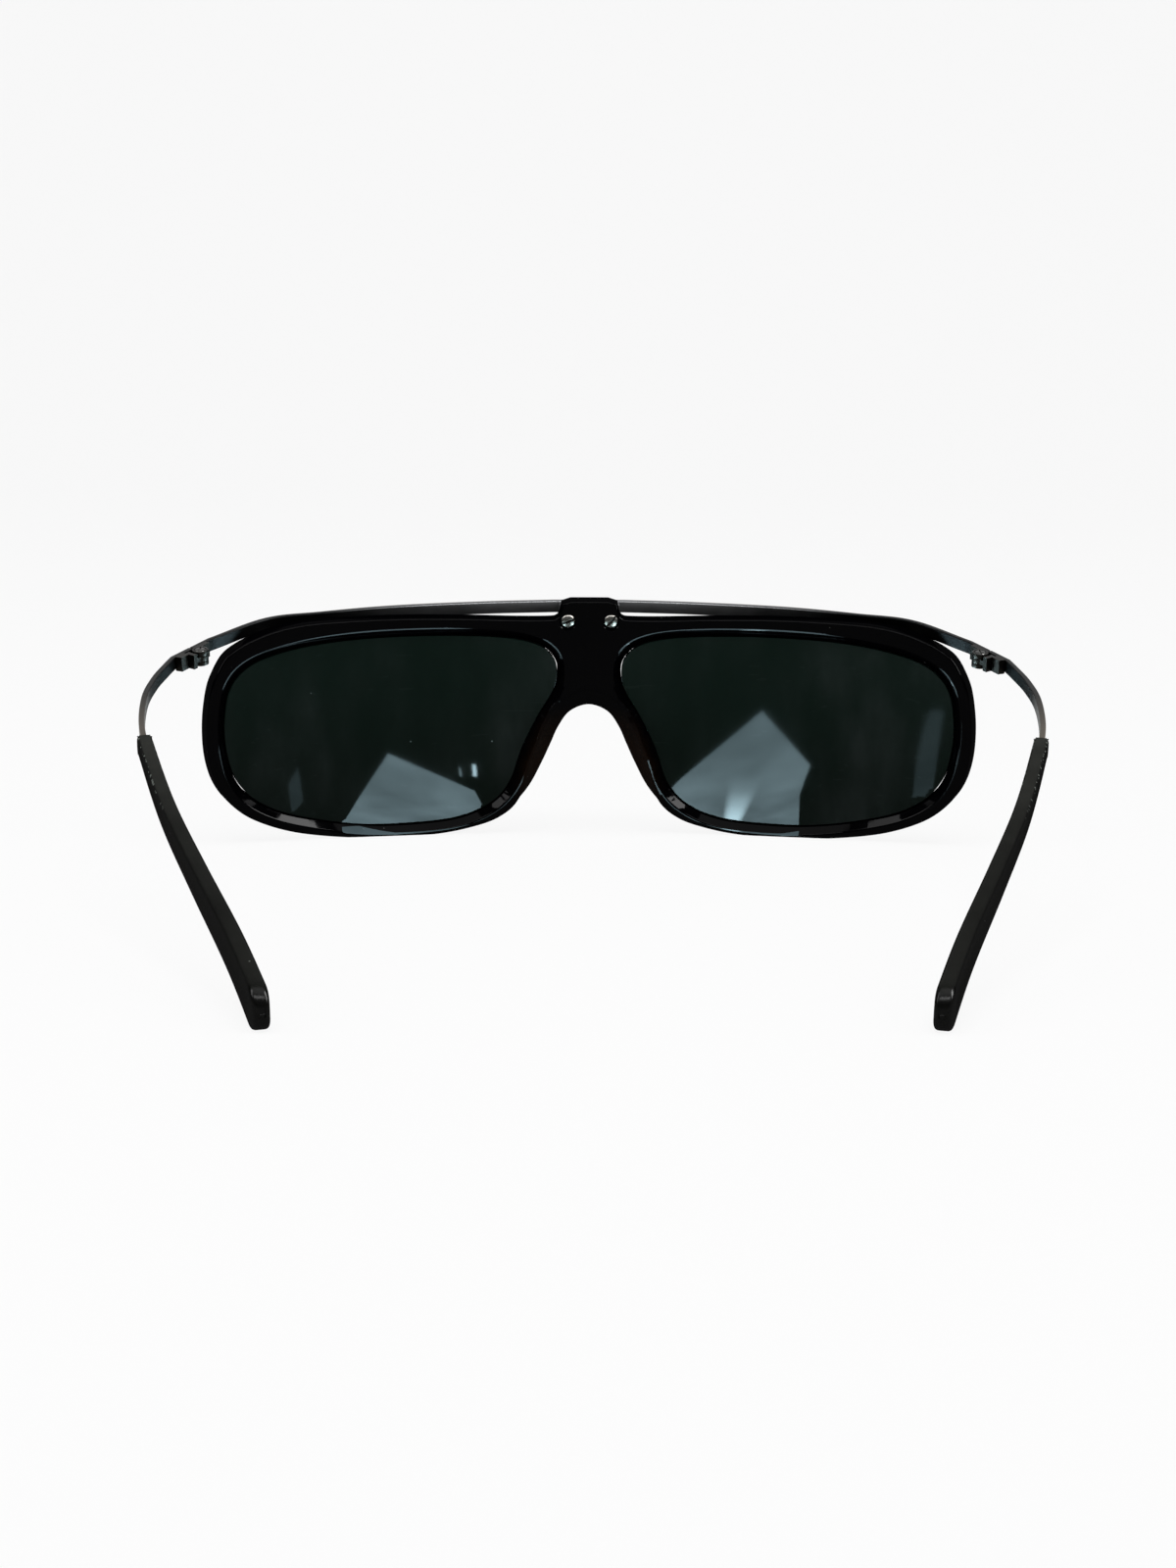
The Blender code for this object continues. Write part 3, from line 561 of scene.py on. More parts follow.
@dataclass(frozen=True)
class SleeveFinish:
    """Black acetate that handling has dulled, with fine scratches, knocks at its mouth, and painted
    light on its top.
    """

    name: str = "handled_black_acetate"
    black: Triple = (0.0016, 0.0016, 0.0015)
    worn: Triple = (0.0052, 0.0052, 0.0046)
    # The lighter colour painted on the top faces, as light from above.
    settled: Triple = (0.036, 0.037, 0.033)
    dusty: Triple = (0.20, 0.22, 0.20)
    patches: Clouds = Clouds(110.0, 4.0)
    scratches: Clouds = Clouds(2600.0, squeeze=(1.0, 0.06, 1.0))
    dust: Specks = Specks(420.0, 0.08, 0.10)
    knocks: Specks = Specks(1500.0, 0.42, 0.45)
    dust_cover: float = 0.6
    knock_cover: float = 0.8
    settled_until: float = 0.040
    knocked_until: float = 0.022
    fade: float = 0.02
    polish: float = 0.22
    wear: float = 0.22
    dust_dulls: float = 0.2
    gloss: float = 0.15
    gloss_lost: float = 0.6

    def material(self) -> Material:
        """Build the material."""
        sheet = NodeSheet.of_material(self.name, self.black)
        patches, dust = self.patches.on(sheet), self.dust.on(sheet)
        scratches = self.scratches.on(sheet)
        level, behind = sheet.facing_up(), sheet.axis(sheet.place(), "Y")
        # Faces that look up are painted lighter, most toward the mouth: painted light from above, not
        # settled dust.
        top = patchy(sheet.between(level, none=0.55, full=0.97), patches, least=0.35, more=0.9)
        near = sheet.between(behind, none=self.settled_until, full=-self.fade)
        top = patchy(top, near, least=0.35, more=0.65)
        brink = sheet.between(level, none=0.25, full=0.45)
        brink = brink * sheet.between(level, none=0.90, full=0.70)
        mouth = sheet.between(behind, self.knocked_until, self.knocked_until - self.fade)
        knocks = self.knocks.on(sheet) * brink * mouth
        colour = sheet.blend(patches, self.black, self.worn)
        colour = sheet.blend(top, colour, self.settled)
        for marks in (dust * self.dust_cover, knocks * self.knock_cover):
            colour = sheet.blend(marks, colour, self.dusty)
        return sheet.principled(
            Base_Color=colour,
            Roughness=self.polish + self.wear * patches * scratches + self.dust_dulls * dust,
            Specular_IOR_Level=0.0,
            Coat_Weight=sheet.sheen(self.gloss, self.gloss_lost * patches * scratches),
            Coat_Roughness=self.polish,
            Normal=sheet.bump(scratches + patches, strength=0.05, distance=0.0002),
        )


@dataclass(frozen=True)
class LensFinish:
    """Dark green-grey lens, a shade lighter at the top, with smears, dust and fine scratches."""

    name: str = "dark_green_lens"
    top: Triple = (0.0032, 0.0114, 0.0078)
    foot: Triple = (0.0003, 0.0032, 0.0016)
    smeared: Triple = (0.036, 0.044, 0.044)
    dusty: Triple = (0.12, 0.15, 0.15)
    low: float = 0.002
    high: float = 0.039
    wipes: Clouds = Clouds(130.0, 5.0, squeeze=(1.0, 1.0, 0.35))
    patches: Clouds = Clouds(48.0)
    hairs: Clouds = Clouds(1500.0, 0.0, squeeze=(0.05, 1.0, 1.0), turn=0.6)
    hair_level: float = 0.80
    hair_cover: float = 0.021
    dust: Specks = Specks(330.0, 0.055, 0.06)
    dust_cover: float = 0.7
    smear_contrast: float = 2.4
    smear_cover: float = 2.4
    polish: float = 0.03
    smear_dulls: float = 0.22
    dust_dulls: float = 0.2
    gloss: float = 0.031

    def material(self) -> Material:
        """Build the material."""
        sheet = NodeSheet.of_material(self.name, self.foot)
        level = sheet.between(sheet.axis(sheet.place(), "Z"), self.low, self.high)
        smears = (self.wipes.on(sheet) * self.patches.on(sheet)) ** self.smear_contrast
        dust = self.dust.on(sheet)
        scratches = (self.hairs.on(sheet) > self.hair_level) * self.hair_cover
        colour = sheet.blend(level, self.foot, self.top)
        colour = sheet.blend(smears * self.smear_cover, colour, self.smeared)
        return sheet.principled(
            Base_Color=sheet.blend(dust * self.dust_cover + scratches, colour, self.dusty),
            Roughness=self.polish + self.smear_dulls * smears + self.dust_dulls * dust,
            Specular_IOR_Level=self.gloss,
        )


@dataclass(frozen=True)
class GunmetalFinish:
    """Dark plated metal, brushed along its length, painted paler over the nose as a reflection, and
    warm behind.
    """

    tip: float
    name: str = "brushed_gunmetal"
    plating: Triple = (0.0020, 0.0021, 0.0022)
    # A paler colour painted over the middle, standing in for a reflection there.
    worn: Triple = (0.135, 0.137, 0.140)
    rubbed: Triple = (0.105, 0.088, 0.068)
    worn_reach: float = 0.050
    rubbed_start: float = -0.034
    rubbed_full: float = -0.014
    brushing: float = 9000.0
    brushing_squeeze: Triple = (0.03, 0.03, 1.0)
    patches: Clouds = Clouds(140.0, 4.0)
    pits: Specks = Specks(900.0, 0.10, 0.08)
    polish: float = 0.24
    patch_dulls: float = 0.16
    brush_dulls: float = 0.10
    pit_dulls: float = 0.2
    brush_pales: float = 0.02
    pit_depth: float = 0.5

    def material(self) -> Material:
        """Build the material."""
        sheet = NodeSheet.of_material(self.name, self.plating)
        across, behind = (sheet.axis(sheet.place(), name) for name in "XY")
        # The paler middle is a painted reflection, not wear; the brushing's pale streaks added below
        # are the metal's own.
        middle = sheet.between(across * across, self.worn_reach**2, 0.0)
        rear = sheet.between(behind, self.rubbed_start, self.rubbed_full)
        brushed = Clouds(self.brushing, squeeze=self.brushing_squeeze, turn=self.tip).on(sheet)
        patches, pits = self.patches.on(sheet), self.pits.on(sheet)
        wear = patchy(middle, patches, least=0.7, more=0.4) + self.brush_pales * brushed
        colour = sheet.blend(wear, self.plating, self.worn)
        dulled = self.polish + self.patch_dulls * patches + self.brush_dulls * brushed
        warm = patchy(rear, patches, least=0.6, more=0.5)
        return sheet.principled(
            Base_Color=sheet.blend(warm, colour, self.rubbed),
            Metallic=1.0,
            Roughness=dulled + self.pit_dulls * pits,
            Normal=sheet.bump(brushed - self.pit_depth * pits, strength=0.10, distance=0.00005),
        )


@dataclass(frozen=True)
class SteelFinish:
    """Turned steel, a little stained, with painted shade on its underside and in the screw slots."""

    name: str = "turned_steel"
    bright: Triple = (0.17, 0.165, 0.155)
    stain: Triple = (0.10, 0.09, 0.075)
    # The dark colour painted into the screw slots, as shade in the recess.
    grime: Triple = (0.008, 0.007, 0.006)
    # The darker colour painted on faces that look down, as shade.
    tarnish: Triple = (0.020, 0.018, 0.015)
    stains: Clouds = Clouds(1500.0, 3.0)
    stain_contrast: float = 2.0
    grain: Clouds = Clouds(9000.0, 1.0)
    polish: float = 0.24
    stain_dulls: float = 0.10
    grime_dulls: float = 0.3

    def material(self) -> Material:
        """Build the material."""
        sheet = NodeSheet.of_material(self.name, self.bright)
        # The mask painted on the mesh darkens the screw slots: painted shade in the recess.
        stains, sunk = self.stains.on(sheet), sheet.painted("grime")
        colour = sheet.blend(stains**self.stain_contrast, self.bright, self.stain)
        # Faces that look down are painted darker: painted shade underneath, not tarnish.
        low = sheet.between(sheet.facing_up(), none=0.22, full=-0.10)
        colour = sheet.blend(patchy(low, stains, least=0.75, more=0.25), colour, self.tarnish)
        return sheet.principled(
            Base_Color=sheet.blend(sunk, colour, self.grime),
            Metallic=1.0,
            Roughness=self.polish + self.stain_dulls * stains + self.grime_dulls * sunk,
            Normal=sheet.bump(self.grain.on(sheet), strength=0.12, distance=0.00003),
        )


@dataclass(frozen=True)
class PaperFinish:
    """The pale floor and backdrop, which show white behind the object and keep its shadow."""

    name: str = "pale_backdrop"
    shade: Triple = (0.86, 0.86, 0.86)
    white: Triple = (1.0, 1.0, 1.0)
    shown: float = 0.90

    def material(self) -> Material:
        """Build the material."""
        sheet = NodeSheet.of_material(self.name, self.shade)
        lit = sheet.node("ShaderNodeBsdfDiffuse", {"Color": (*self.shade, 1.0)})
        rays = sheet.node("ShaderNodeLightPath")
        seen = rays.out("Is Camera Ray") + rays.out("Is Glossy Ray")
        seen = (seen + rays.out("Is Transmission Ray")) * self.shown
        mixed = {0: seen, 1: lit, 2: sheet.glow(self.white, 1.0)}
        return sheet.surface(sheet.node("ShaderNodeMixShader", mixed))


# ---- Mesh helpers


def carved(bm: BMesh, cutters: Sequence[BMesh]) -> BMesh:
    """Take cutters out of a body.

    Args:
        bm: The body. It is used up.
        cutters: Closed shapes in the body's own place. They are used up.

    Returns:
        The body that is left.
    """
    body = stored("body", bm)
    tools = [stored("cutter", cutter) for cutter in cutters]
    for tool in tools:
        modifier = body.modifiers.new("cut", "BOOLEAN")
        modifier.operation = "DIFFERENCE"
        modifier.solver = "EXACT"
        modifier.object = tool
    graph = bpy.context.evaluated_depsgraph_get()
    mesh = bpy.data.meshes.new_from_object(body.evaluated_get(graph))
    left = bmesh.new()
    left.from_mesh(mesh)
    for used in (mesh, body.data, *(tool.data for tool in tools)):
        bpy.data.meshes.remove(used)
    return left


def stored(name: str, bm: BMesh) -> Object:
    """Put a bmesh into a new object of the scene, and free it."""
    mesh = bpy.data.meshes.new(name)
    bm.to_mesh(mesh)
    bm.free()
    return linked(name, mesh)


def linked(name: str, data: bpy.types.ID) -> Object:
    """Put a mesh, lamp or camera into a new object of the scene."""
    made = bpy.data.objects.new(name, data)
    bpy.context.scene.collection.objects.link(made)
    return made


def sharp_edges(
    bm: BMesh, angle: float, wanted: Callable[[BMEdge], bool] = bool
) -> list[BMEdge]:
    """Pick the edges whose two faces meet at more than an angle, where the test also holds."""
    joined = [edge for edge in bm.edges if len(edge.link_faces) == 2]
    return [edge for edge in joined if edge.calc_face_angle(0.0) > angle and wanted(edge)]


def bevel(bm: BMesh, edges: Sequence[BMEdge], width: float, segments: int) -> None:
    """Round the edges off."""
    bmesh.ops.bevel(
        bm,
        geom=list(edges),
        offset=width,
        offset_type="OFFSET",
        segments=segments,
        profile=0.5,
        affect="EDGES",
        clamp_overlap=True,
        material=-1,
    )


def slice_along(
    bm: BMesh,
    axis: Vector,
    stations: Iterable[float],
    wanted: Callable[[BMFace], bool] | None = None,
) -> None:
    """Cut across a body at stations along an axis, so that it can bend there.

    Args:
        bm: The body.
        axis: The way that the cutting planes face.
        stations: The planes' distances from the origin.
        wanted: Which faces are cut, or all of them.
    """
    for station in stations:
        faces = [face for face in bm.faces if wanted is None or wanted(face)]
        edges = {edge for face in faces for edge in face.edges}
        verts = {vert for face in faces for vert in face.verts}
        bmesh.ops.bisect_plane(
            bm, geom=[*verts, *edges, *faces], dist=MERGE, plane_co=axis * station, plane_no=axis
        )


def evenly(low: float, high: float, spacing: float) -> list[float]:
    """Places strictly between two ends, about a spacing apart."""
    count = max(1, round((high - low) / spacing))
    return [low + (high - low) * i / count for i in range(1, count)]


def face_out(bm: BMesh) -> None:
    """Turn every face's normal outward."""
    bmesh.ops.recalc_face_normals(bm, faces=bm.faces[:])


def move(bm: BMesh, matrix: Matrix) -> None:
    """Move a whole body."""
    bmesh.ops.transform(bm, matrix=matrix, verts=bm.verts[:])


def draw_out(bm: BMesh, made: dict[str, Any], offset: Sequence[float]) -> None:
    """Move what an extrusion made away from what it grew from."""
    moved = [item for item in made["geom"] if isinstance(item, BMVert)]
    bmesh.ops.translate(bm, verts=moved, vec=offset)


def sheet_from(bm: BMesh, line: Sequence[BMVert], offset: Sequence[float]) -> None:
    """Join vertices into a line, and draw it out into a sheet."""
    edges = [bm.edges.new(pair) for pair in zip(line, line[1:])]
    draw_out(bm, bmesh.ops.extrude_edge_only(bm, edges=edges), offset)
    face_out(bm)


def prism(outline: Sequence[Vector], low: float, high: float) -> BMesh:
    """Extrude an outline in X and Z through a depth along Y."""
    bm = bmesh.new()
    face = bm.faces.new([bm.verts.new((point.x, low, point.y)) for point in outline])
    draw_out(bm, bmesh.ops.extrude_face_region(bm, geom=[face]), BEHIND * (high - low))
    face_out(bm)
    return bm


def turned(profile: Pairs, steps: int) -> BMesh:
    """Spin a profile of (radius, height) points about Z into a closed body."""
    bm = bmesh.new()
    line = [bm.verts.new((radius, 0.0, height)) for radius, height in profile]
    edges = [bm.edges.new(pair) for pair in zip(line, line[1:])]
    bmesh.ops.spin(
        bm,
        geom=[*line, *edges],
        cent=(0.0, 0.0, 0.0),
        axis=UP,
        angle=2 * math.pi,
        steps=steps,
        use_merge=True,
    )
    bmesh.ops.remove_doubles(bm, verts=bm.verts[:], dist=MERGE)
    face_out(bm)
    return bm


def block(width: float, depth: float, height: float) -> BMesh:
    """A box about the origin."""
    bm = bmesh.new()
    bmesh.ops.create_cube(bm, size=1.0)
    bmesh.ops.scale(bm, verts=bm.verts[:], vec=(width, depth, height))
    return bm


def mirrored(bm: BMesh) -> BMesh:
    """The same body for the other side of the face."""
    other = bm.copy()
    bmesh.ops.scale(other, verts=other.verts[:], vec=(-1.0, 1.0, 1.0))
    bmesh.ops.reverse_faces(other, faces=other.faces[:])
    return other


def eased(node: Object, width: float, segments: int) -> BMesh:
    """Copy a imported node's mesh, weld it, and ease its edges."""
    bm = bmesh.new()
    bm.from_mesh(node.data)
    bmesh.ops.remove_doubles(bm, verts=bm.verts[:], dist=MERGE)
    bmesh.ops.dissolve_limit(bm, angle_limit=FLAT, verts=bm.verts[:], edges=bm.edges[:])
    bevel(bm, sharp_edges(bm, SHARP), width, segments)
    return bm


# ---- Making and placing pieces


class Bench:
    """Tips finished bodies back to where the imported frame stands, and dresses them."""

    face_weight: int = 80

    def __init__(self, layout: Layout) -> None:
        """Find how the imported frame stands, and make the finishes.

        Args:
            layout: The driving sizes of the sunglasses.
        """
        self.layout = layout
        hinge = next(j for j in frame["joints"] if j["child"] == "temple_left")
        axis = Vector(hinge["axis"])
        self.tip = math.atan2(axis.y, axis.z)
        turn = Matrix.Rotation(-self.tip, 4, "X")
        foot = Vector(hinge["pos_m"]) - turn @ layout.hinge_axis
        self.stand = Matrix.Translation(foot) @ turn
        self.finishes = {
            Slot.ACETATE: AcetateFinish().material(),
            Slot.LENS: LensFinish().material(),
            Slot.GUNMETAL: GunmetalFinish(self.tip).material(),
            Slot.STEEL: SteelFinish().material(),
        }
        self.sleeve_finish = SleeveFinish().material()
        self.hinge_finish = GunmetalFinish(
            self.tip, name="hinge_gunmetal", plating=(0.0064, 0.0056, 0.0046), rubbed_start=-0.02
        ).material()
        self.pin_finish = SteelFinish(
            name="blackened_pin_steel", bright=(0.050, 0.050, 0.048), stain=(0.016, 0.015, 0.014)
        ).material()

    def piece(
        self,
        name: str,
        bm: BMesh,
        slot: Slot,
        node: str,
        body: str,
        material: Material | None = None,
        worn: bool = True,
    ) -> Object:
        """Finish one piece and put it in its node's place.

        Args:
            name: The piece's name.
            bm: Its body. It is used up.
            slot: The record's slot for its finish.
            node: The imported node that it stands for.
            body: The body that it moves with.
            material: Its material, if it isn't the slot's own.
            worn: Whether the body is still in the worn position.

        Returns:
            The finished object.
        """
        if worn:
            move(bm, self.stand)
        # Nothing reaches below the floor.
        for vert in bm.verts:
            vert.co.z = max(vert.co.z, 0.0)
        made = stored(name, bm)
        made.data.shade_smooth()
        made.data.set_sharp_from_angle(angle=SHARP)
        made.data.materials.append(material or self.finishes[slot])
        settle = made.modifiers.new("even_shading", "WEIGHTED_NORMAL")
        settle.keep_sharp = True
        settle.weight = self.face_weight
        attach(made, body)
        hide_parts(node)
        LOG.info("%s: %d faces, on %s", name, len(made.data.polygons), body)
        return made


# ---- Sub-assemblies


@dataclass
class AcetateFront:
    """The wrapped front: two rims with bevelled openings, the nose bridge, its pads, the tab."""

    bench: Bench
    steps: int = 8
    slice_width: float = 0.0016
    front_round: float = 0.0006
    rear_round: float = 0.0013
    eye_front_round: float = 0.0004
    eye_rear_bevel: float = 0.0015
    eye_rear_round: float = 0.0003
    wall_lean: float = 0.5
    splay_start: float = -0.55
    nose_splay: float = 0.0036
    tinge_reach: float = 0.0013
    tinge_fade: int = 3
    pad_rise: float = 0.0018
    pad_outset: float = 0.0046
    pad_level: float = 0.70
    pad_half_width: float = 0.0045
    pad_half_height: float = 0.0085
    pad_slice: float = 0.0014
    screw_spacing: float = 0.0080
    screw_drop: float = 0.00095
    recess_radius: float = 0.00135
    recess_depth: float = 0.0005
    recess_lip: float = 0.00012
    recess_sides: int = 48
    pocket_fit: float = 0.00018
    pocket_floor: float = 0.00218
    plate_drop: float = 0.0024

    def build(self) -> Object:
        """Build the front and put it in place.

        Returns:
            The finished object.
        """
        layout = self.bench.layout
        bm = self._half_sheet()
        self._thicken(bm)
        self._join_halves(bm)
        self._round_edges(bm)
        half = layout.half_width
        slice_along(bm, ACROSS, evenly(-half, half, self.slice_width))
        near = layout.nose_half_width + 2 * self.pad_half_width
        low, high = layout.rim_bottom, layout.rim_height
        stations = evenly(low, high, self.pad_slice)
        slice_along(bm, UP, stations, lambda face: abs(face.calc_center_median().x) < near)
        self._tinge(bm)
        self._raise_pads(bm)
        for vert in bm.verts:
            vert.co = layout.bent(vert.co)
        move(bm, layout.hang)
        bm = carved(bm, self._cutters())
        return self.bench.piece("acetate_front", bm, Slot.ACETATE, "front_frame", "front")

    def _outline(self) -> tuple[list[Vector], list[Vector]]:
        """Draw the front's left half, and find its inward normals."""
        outer = self.bench.layout.front_outline(self.steps)
        return outer, inward(outer + flipped(outer[1:-1]))

    def _half_sheet(self) -> BMesh:
        """Draw the left half's front face.

        Returns:
            Two faces that meet above and below the lens, with the nose's lean on their corners.
        """
        layout = self.bench.layout
        outer, normals = self._outline()
        eye = layout.lens_outline(self.steps)
        bm = bmesh.new()
        lean = bm.verts.layers.float_vector.new("lean")
        ring = [bm.verts.new((p.x, -layout.thickness / 2, p.y)) for p in outer]
        hole = [bm.verts.new((p.x, -layout.thickness / 2, p.y)) for p in eye]
        for vert, point, normal in zip(ring, outer, normals):
            vert[lean] = Vector((normal.x, 0.0, normal.y)) * point.z
        middle = layout.lens_middle

        def nearest(points: Sequence[Vector], above: bool) -> int:
            """Find the point above or below the lens's middle."""
            side = [i for i, p in enumerate(points) if (p.y > middle.y) == above]
            return min(side, key=lambda i: abs(points[i].x - middle.x))

        top, foot = nearest(outer, True), nearest(outer, False)
        eye_top, eye_foot = nearest(eye, True), nearest(eye, False)
        outside = hole[eye_top : eye_foot + 1]
        noseward = hole[eye_foot:] + hole[: eye_top + 1]
        bm.faces.new(ring[top : foot + 1] + outside[::-1])
        bm.faces.new(ring[: top + 1] + noseward[::-1] + ring[foot:])
        return bm

    def _thicken(self, bm: BMesh) -> None:
        """Give the sheet its thickness, and splay the nose walls toward the rear."""
        thickness = self.bench.layout.thickness
        made = bmesh.ops.extrude_face_region(bm, geom=bm.faces[:], use_keep_orig=True)
        draw_out(bm, made, BEHIND * thickness)
        slice_along(bm, BEHIND, [self.splay_start * thickness / 2])
        lean = bm.verts.layers.float_vector["lean"]
        for vert in bm.verts:
            vert.co += vert[lean] * self.nose_splay * self._splay_share(vert.co.y)

    def _join_halves(self, bm: BMesh) -> None:
        """Mirror the left half and weld it to its image."""
        seam = [face for face in bm.faces if all(abs(v.co.x) < MERGE for v in face.verts)]
        bmesh.ops.delete(bm, geom=seam, context="FACES_ONLY")
        geom = bm.verts[:] + bm.edges[:] + bm.faces[:]
        bmesh.ops.mirror(bm, geom=geom, axis="X", merge_dist=MERGE)
        face_out(bm)

    def _round_edges(self, bm: BMesh) -> None:
        """Round the outer edges and bevel the lens openings, in front and behind.

        Args:
            bm: The whole flat front.
        """
        layout = self.bench.layout
        half = layout.thickness / 2
        reach = Vector((layout.lens_width, layout.lens_height)) / 2

        def on_face(edge: BMEdge, level: float) -> bool:
            """Whether an edge lies in the front or the rear face."""
            return all(abs(vert.co.y - level) < MERGE for vert in edge.verts)

        def beside_lens(edge: BMEdge) -> bool:
            """Whether an edge goes round a lens opening."""
            place = (edge.verts[0].co + edge.verts[1].co) / 2
            middle = layout.lens_middle
            across = abs(abs(place.x) - middle.x) / (reach.x + self.eye_front_round)
            up = abs(place.z - middle.y) / (reach.y + self.eye_front_round)
            if max(across, up) > 1.0:
                return False
            walls = [face for face in edge.link_faces if abs(face.normal.y) < self.wall_lean]
            toward = Vector((math.copysign(middle.x, place.x), 0.0, middle.y)) - place
            return any(face.normal.dot(toward) > 0 for face in walls)

        for level, at_lens, width, segments in (
            (-half, False, self.front_round, 3),
            (half, False, self.rear_round, 5),
            (-half, True, self.eye_front_round, 2),
            (half, True, self.eye_rear_bevel, 1),
        ):
            edges = sharp_edges(bm, SHARP, lambda edge: on_face(edge, level))
            chosen = [edge for edge in edges if beside_lens(edge) == at_lens]
            bevel(bm, chosen, width, segments)
        ridge = sharp_edges(bm, SHARP, lambda edge: on_face(edge, half))
        bevel(bm, ridge, self.eye_rear_round, segments=3)

    def _splay_share(self, depth: float) -> float:
        """How much of the nose's splay there is at a depth behind the front's middle plane."""
        half = self.bench.layout.thickness / 2
        start = self.splay_start * half
        return max(0.0, (depth - start) / (half - start))

    def _tinge(self, bm: BMesh) -> None:
        """Mark where the acetate is thin: on the splayed nose walls, fading out beside them."""
        thin = bm.verts.layers.float.new("thin")
        pairs = zip(*self._outline())
        walls = [(p, n * p.z * self.nose_splay) for p, n in pairs if p.z > 0.0]
        for vert in bm.verts:
            share = self._splay_share(vert.co.y)
            place = Vector((abs(vert.co.x), vert.co.z))
            gap, depth = min(((p.to_2d() + n * share - place).length, p.z) for p, n in walls)
            height = vert.co.z / self.bench.layout.nose_height
            fade = max(0.0, 1.0 - height**self.tinge_fade)
            vert[thin] = depth * fade * math.exp(-((gap / self.tinge_reach) ** 2))

    def _raise_pads(self, bm: BMesh) -> None:
        """Build the rear face up beside the nose."""
        layout = self.bench.layout
        half = layout.thickness / 2
        middle = layout.lens_spacing / 2 + self.pad_outset
        for vert in bm.verts:
            across = (abs(vert.co.x) - middle) / self.pad_half_width
            up = (vert.co.z - self.pad_level * layout.nose_height) / self.pad_half_height
            # The rise is spread over the rear quarter of the thickness.
            ramp = max(0.0, 2 * vert.co.y / half - 1)
            vert.co.y += self.pad_rise * ramp * math.exp(-(across**2) - up**2)

    def screw_place(self, side: Side) -> Matrix:
        """Put what is built along Z on a screw's hole, with its head behind."""
        lean = Matrix.Rotation(-QUARTER, 4, "X")
        return Matrix.Translation((side.value * self.screw_spacing / 2, 0, -self.screw_drop)) @ lean

    @property
    def tab_rear(self) -> float:
        """How far the tab's rear face is behind the bar's outer face, on the screws' line."""
        layout = self.bench.layout
        thick = layout.thickness + layout.bar_standoff + layout.bar_thickness
        return (thick + self.screw_drop * math.sin(layout.face_tilt)) / math.cos(layout.face_tilt)

    def _cutters(self) -> list[BMesh]:
        """Make the screws' recesses, with their lips eased, and the plate's pocket."""
        layout = self.bench.layout
        mouth, over = self.tab_rear, layout.thickness / 2
        seat = mouth - self.recess_depth
        radius, lip = self.recess_radius, self.recess_lip
        profile = [(0.0, seat), (radius, seat), (radius, mouth - lip)]
        profile += [(radius + lip, mouth), (radius + lip + over, mouth + over), (0.0, mouth + over)]
        cutters = []
        for side in Side:
            cutters.append(turned(profile, self.recess_sides))
            move(cutters[-1], self.screw_place(side))
        width = layout.plate_width + 2 * self.pocket_fit
        height = layout.bar_height + self.plate_drop + 2 * self.pocket_fit
        pocket = block(width, 2 * self.pocket_floor, height)
        move(pocket, Matrix.Translation(UP * -self.plate_drop / 2))
        return [*cutters, pocket]


@dataclass
class Lens:
    """One dark lens, domed forward and bent with the front."""

    bench: Bench
    steps: int = 8
    thickness: float = 0.0019
    dome: float = 0.0012
    fit: float = 0.0001
    edge_round: float = 0.00015
    grid: float = 0.0016

    def build(self, side: Side) -> Object:
        """Build one lens and put it in place.

        Args:
            side: Which lens.

        Returns:
            The finished object.
        """
        layout = self.bench.layout
        outline = layout.lens_outline(self.steps)
        edge = [p + n * self.fit for p, n in zip(outline, inward(outline))]
        bm = prism(edge, -self.thickness / 2, self.thickness / 2)
        bevel(bm, sharp_edges(bm, STEEP), self.edge_round, segments=2)
        start = layout.lens_spacing / 2
        slice_along(bm, ACROSS, evenly(start, start + layout.lens_width, self.grid))
        low = layout.rim_bottom
        slice_along(bm, UP, evenly(low, low + layout.lens_height, self.grid))
        middle = layout.lens_middle
        for vert in bm.verts:
            across = (vert.co.x - middle.x) / (layout.lens_width / 2)
            up = (vert.co.z - middle.y) / (layout.lens_height / 2)
            vert.co.y -= self.dome * (1 - across**2 - up**2)
            vert.co = layout.bent(vert.co)
        move(bm, layout.hang)
        if side is Side.RIGHT:
            bm = mirrored(bm)
        name = "lens_" + side.word
        return self.bench.piece("dark_" + name, bm, Slot.LENS, name, "front")


@dataclass
class Ribbon:
    """The flat metal strip that the brow bar and the temples are made from."""

    bench: Bench
    corner: float = 0.00022
    corner_steps: int = 3
    core_height: float = 0.0014

    def strip(self, path: Sequence[Vector], core_from: float | None = None) -> BMesh:
        """Sweep the strip along a path that is its outer face.

        Args:
            path: The outer face seen from above, with the wearer on its left.
            core_from: How far along the strip narrows to a core, if it does.

        Returns:
            The strip's body.
        """
        layout = self.bench.layout
        half = layout.bar_height / 2
        bm = bmesh.new()
        along = bm.verts.layers.float.new("along")
        marks = Path(path).marks
        foot = [bm.verts.new((p.x, p.y, -half)) for p in path]
        for vert, mark in zip(foot, marks):
            vert[along] = mark
        sheet_from(bm, foot, UP * layout.bar_height)
        start = min(bm.faces, key=lambda face: (face.calc_center_median().xy - path[0].xy).length)
        run = path[1] - path[0]
        if start.normal.dot(Vector((-run.y, run.x, 0.0))) > 0:
            bmesh.ops.reverse_faces(bm, faces=bm.faces[:])
        bmesh.ops.solidify(bm, geom=bm.faces[:], thickness=layout.bar_thickness)
        face_out(bm)
        if core_from is not None:
            for vert in bm.verts:
                if vert[along] > core_from:
                    vert.co.z *= self.core_height / layout.bar_height
        bevel(bm, sharp_edges(bm, STEEP), self.corner, self.corner_steps)
        return bm


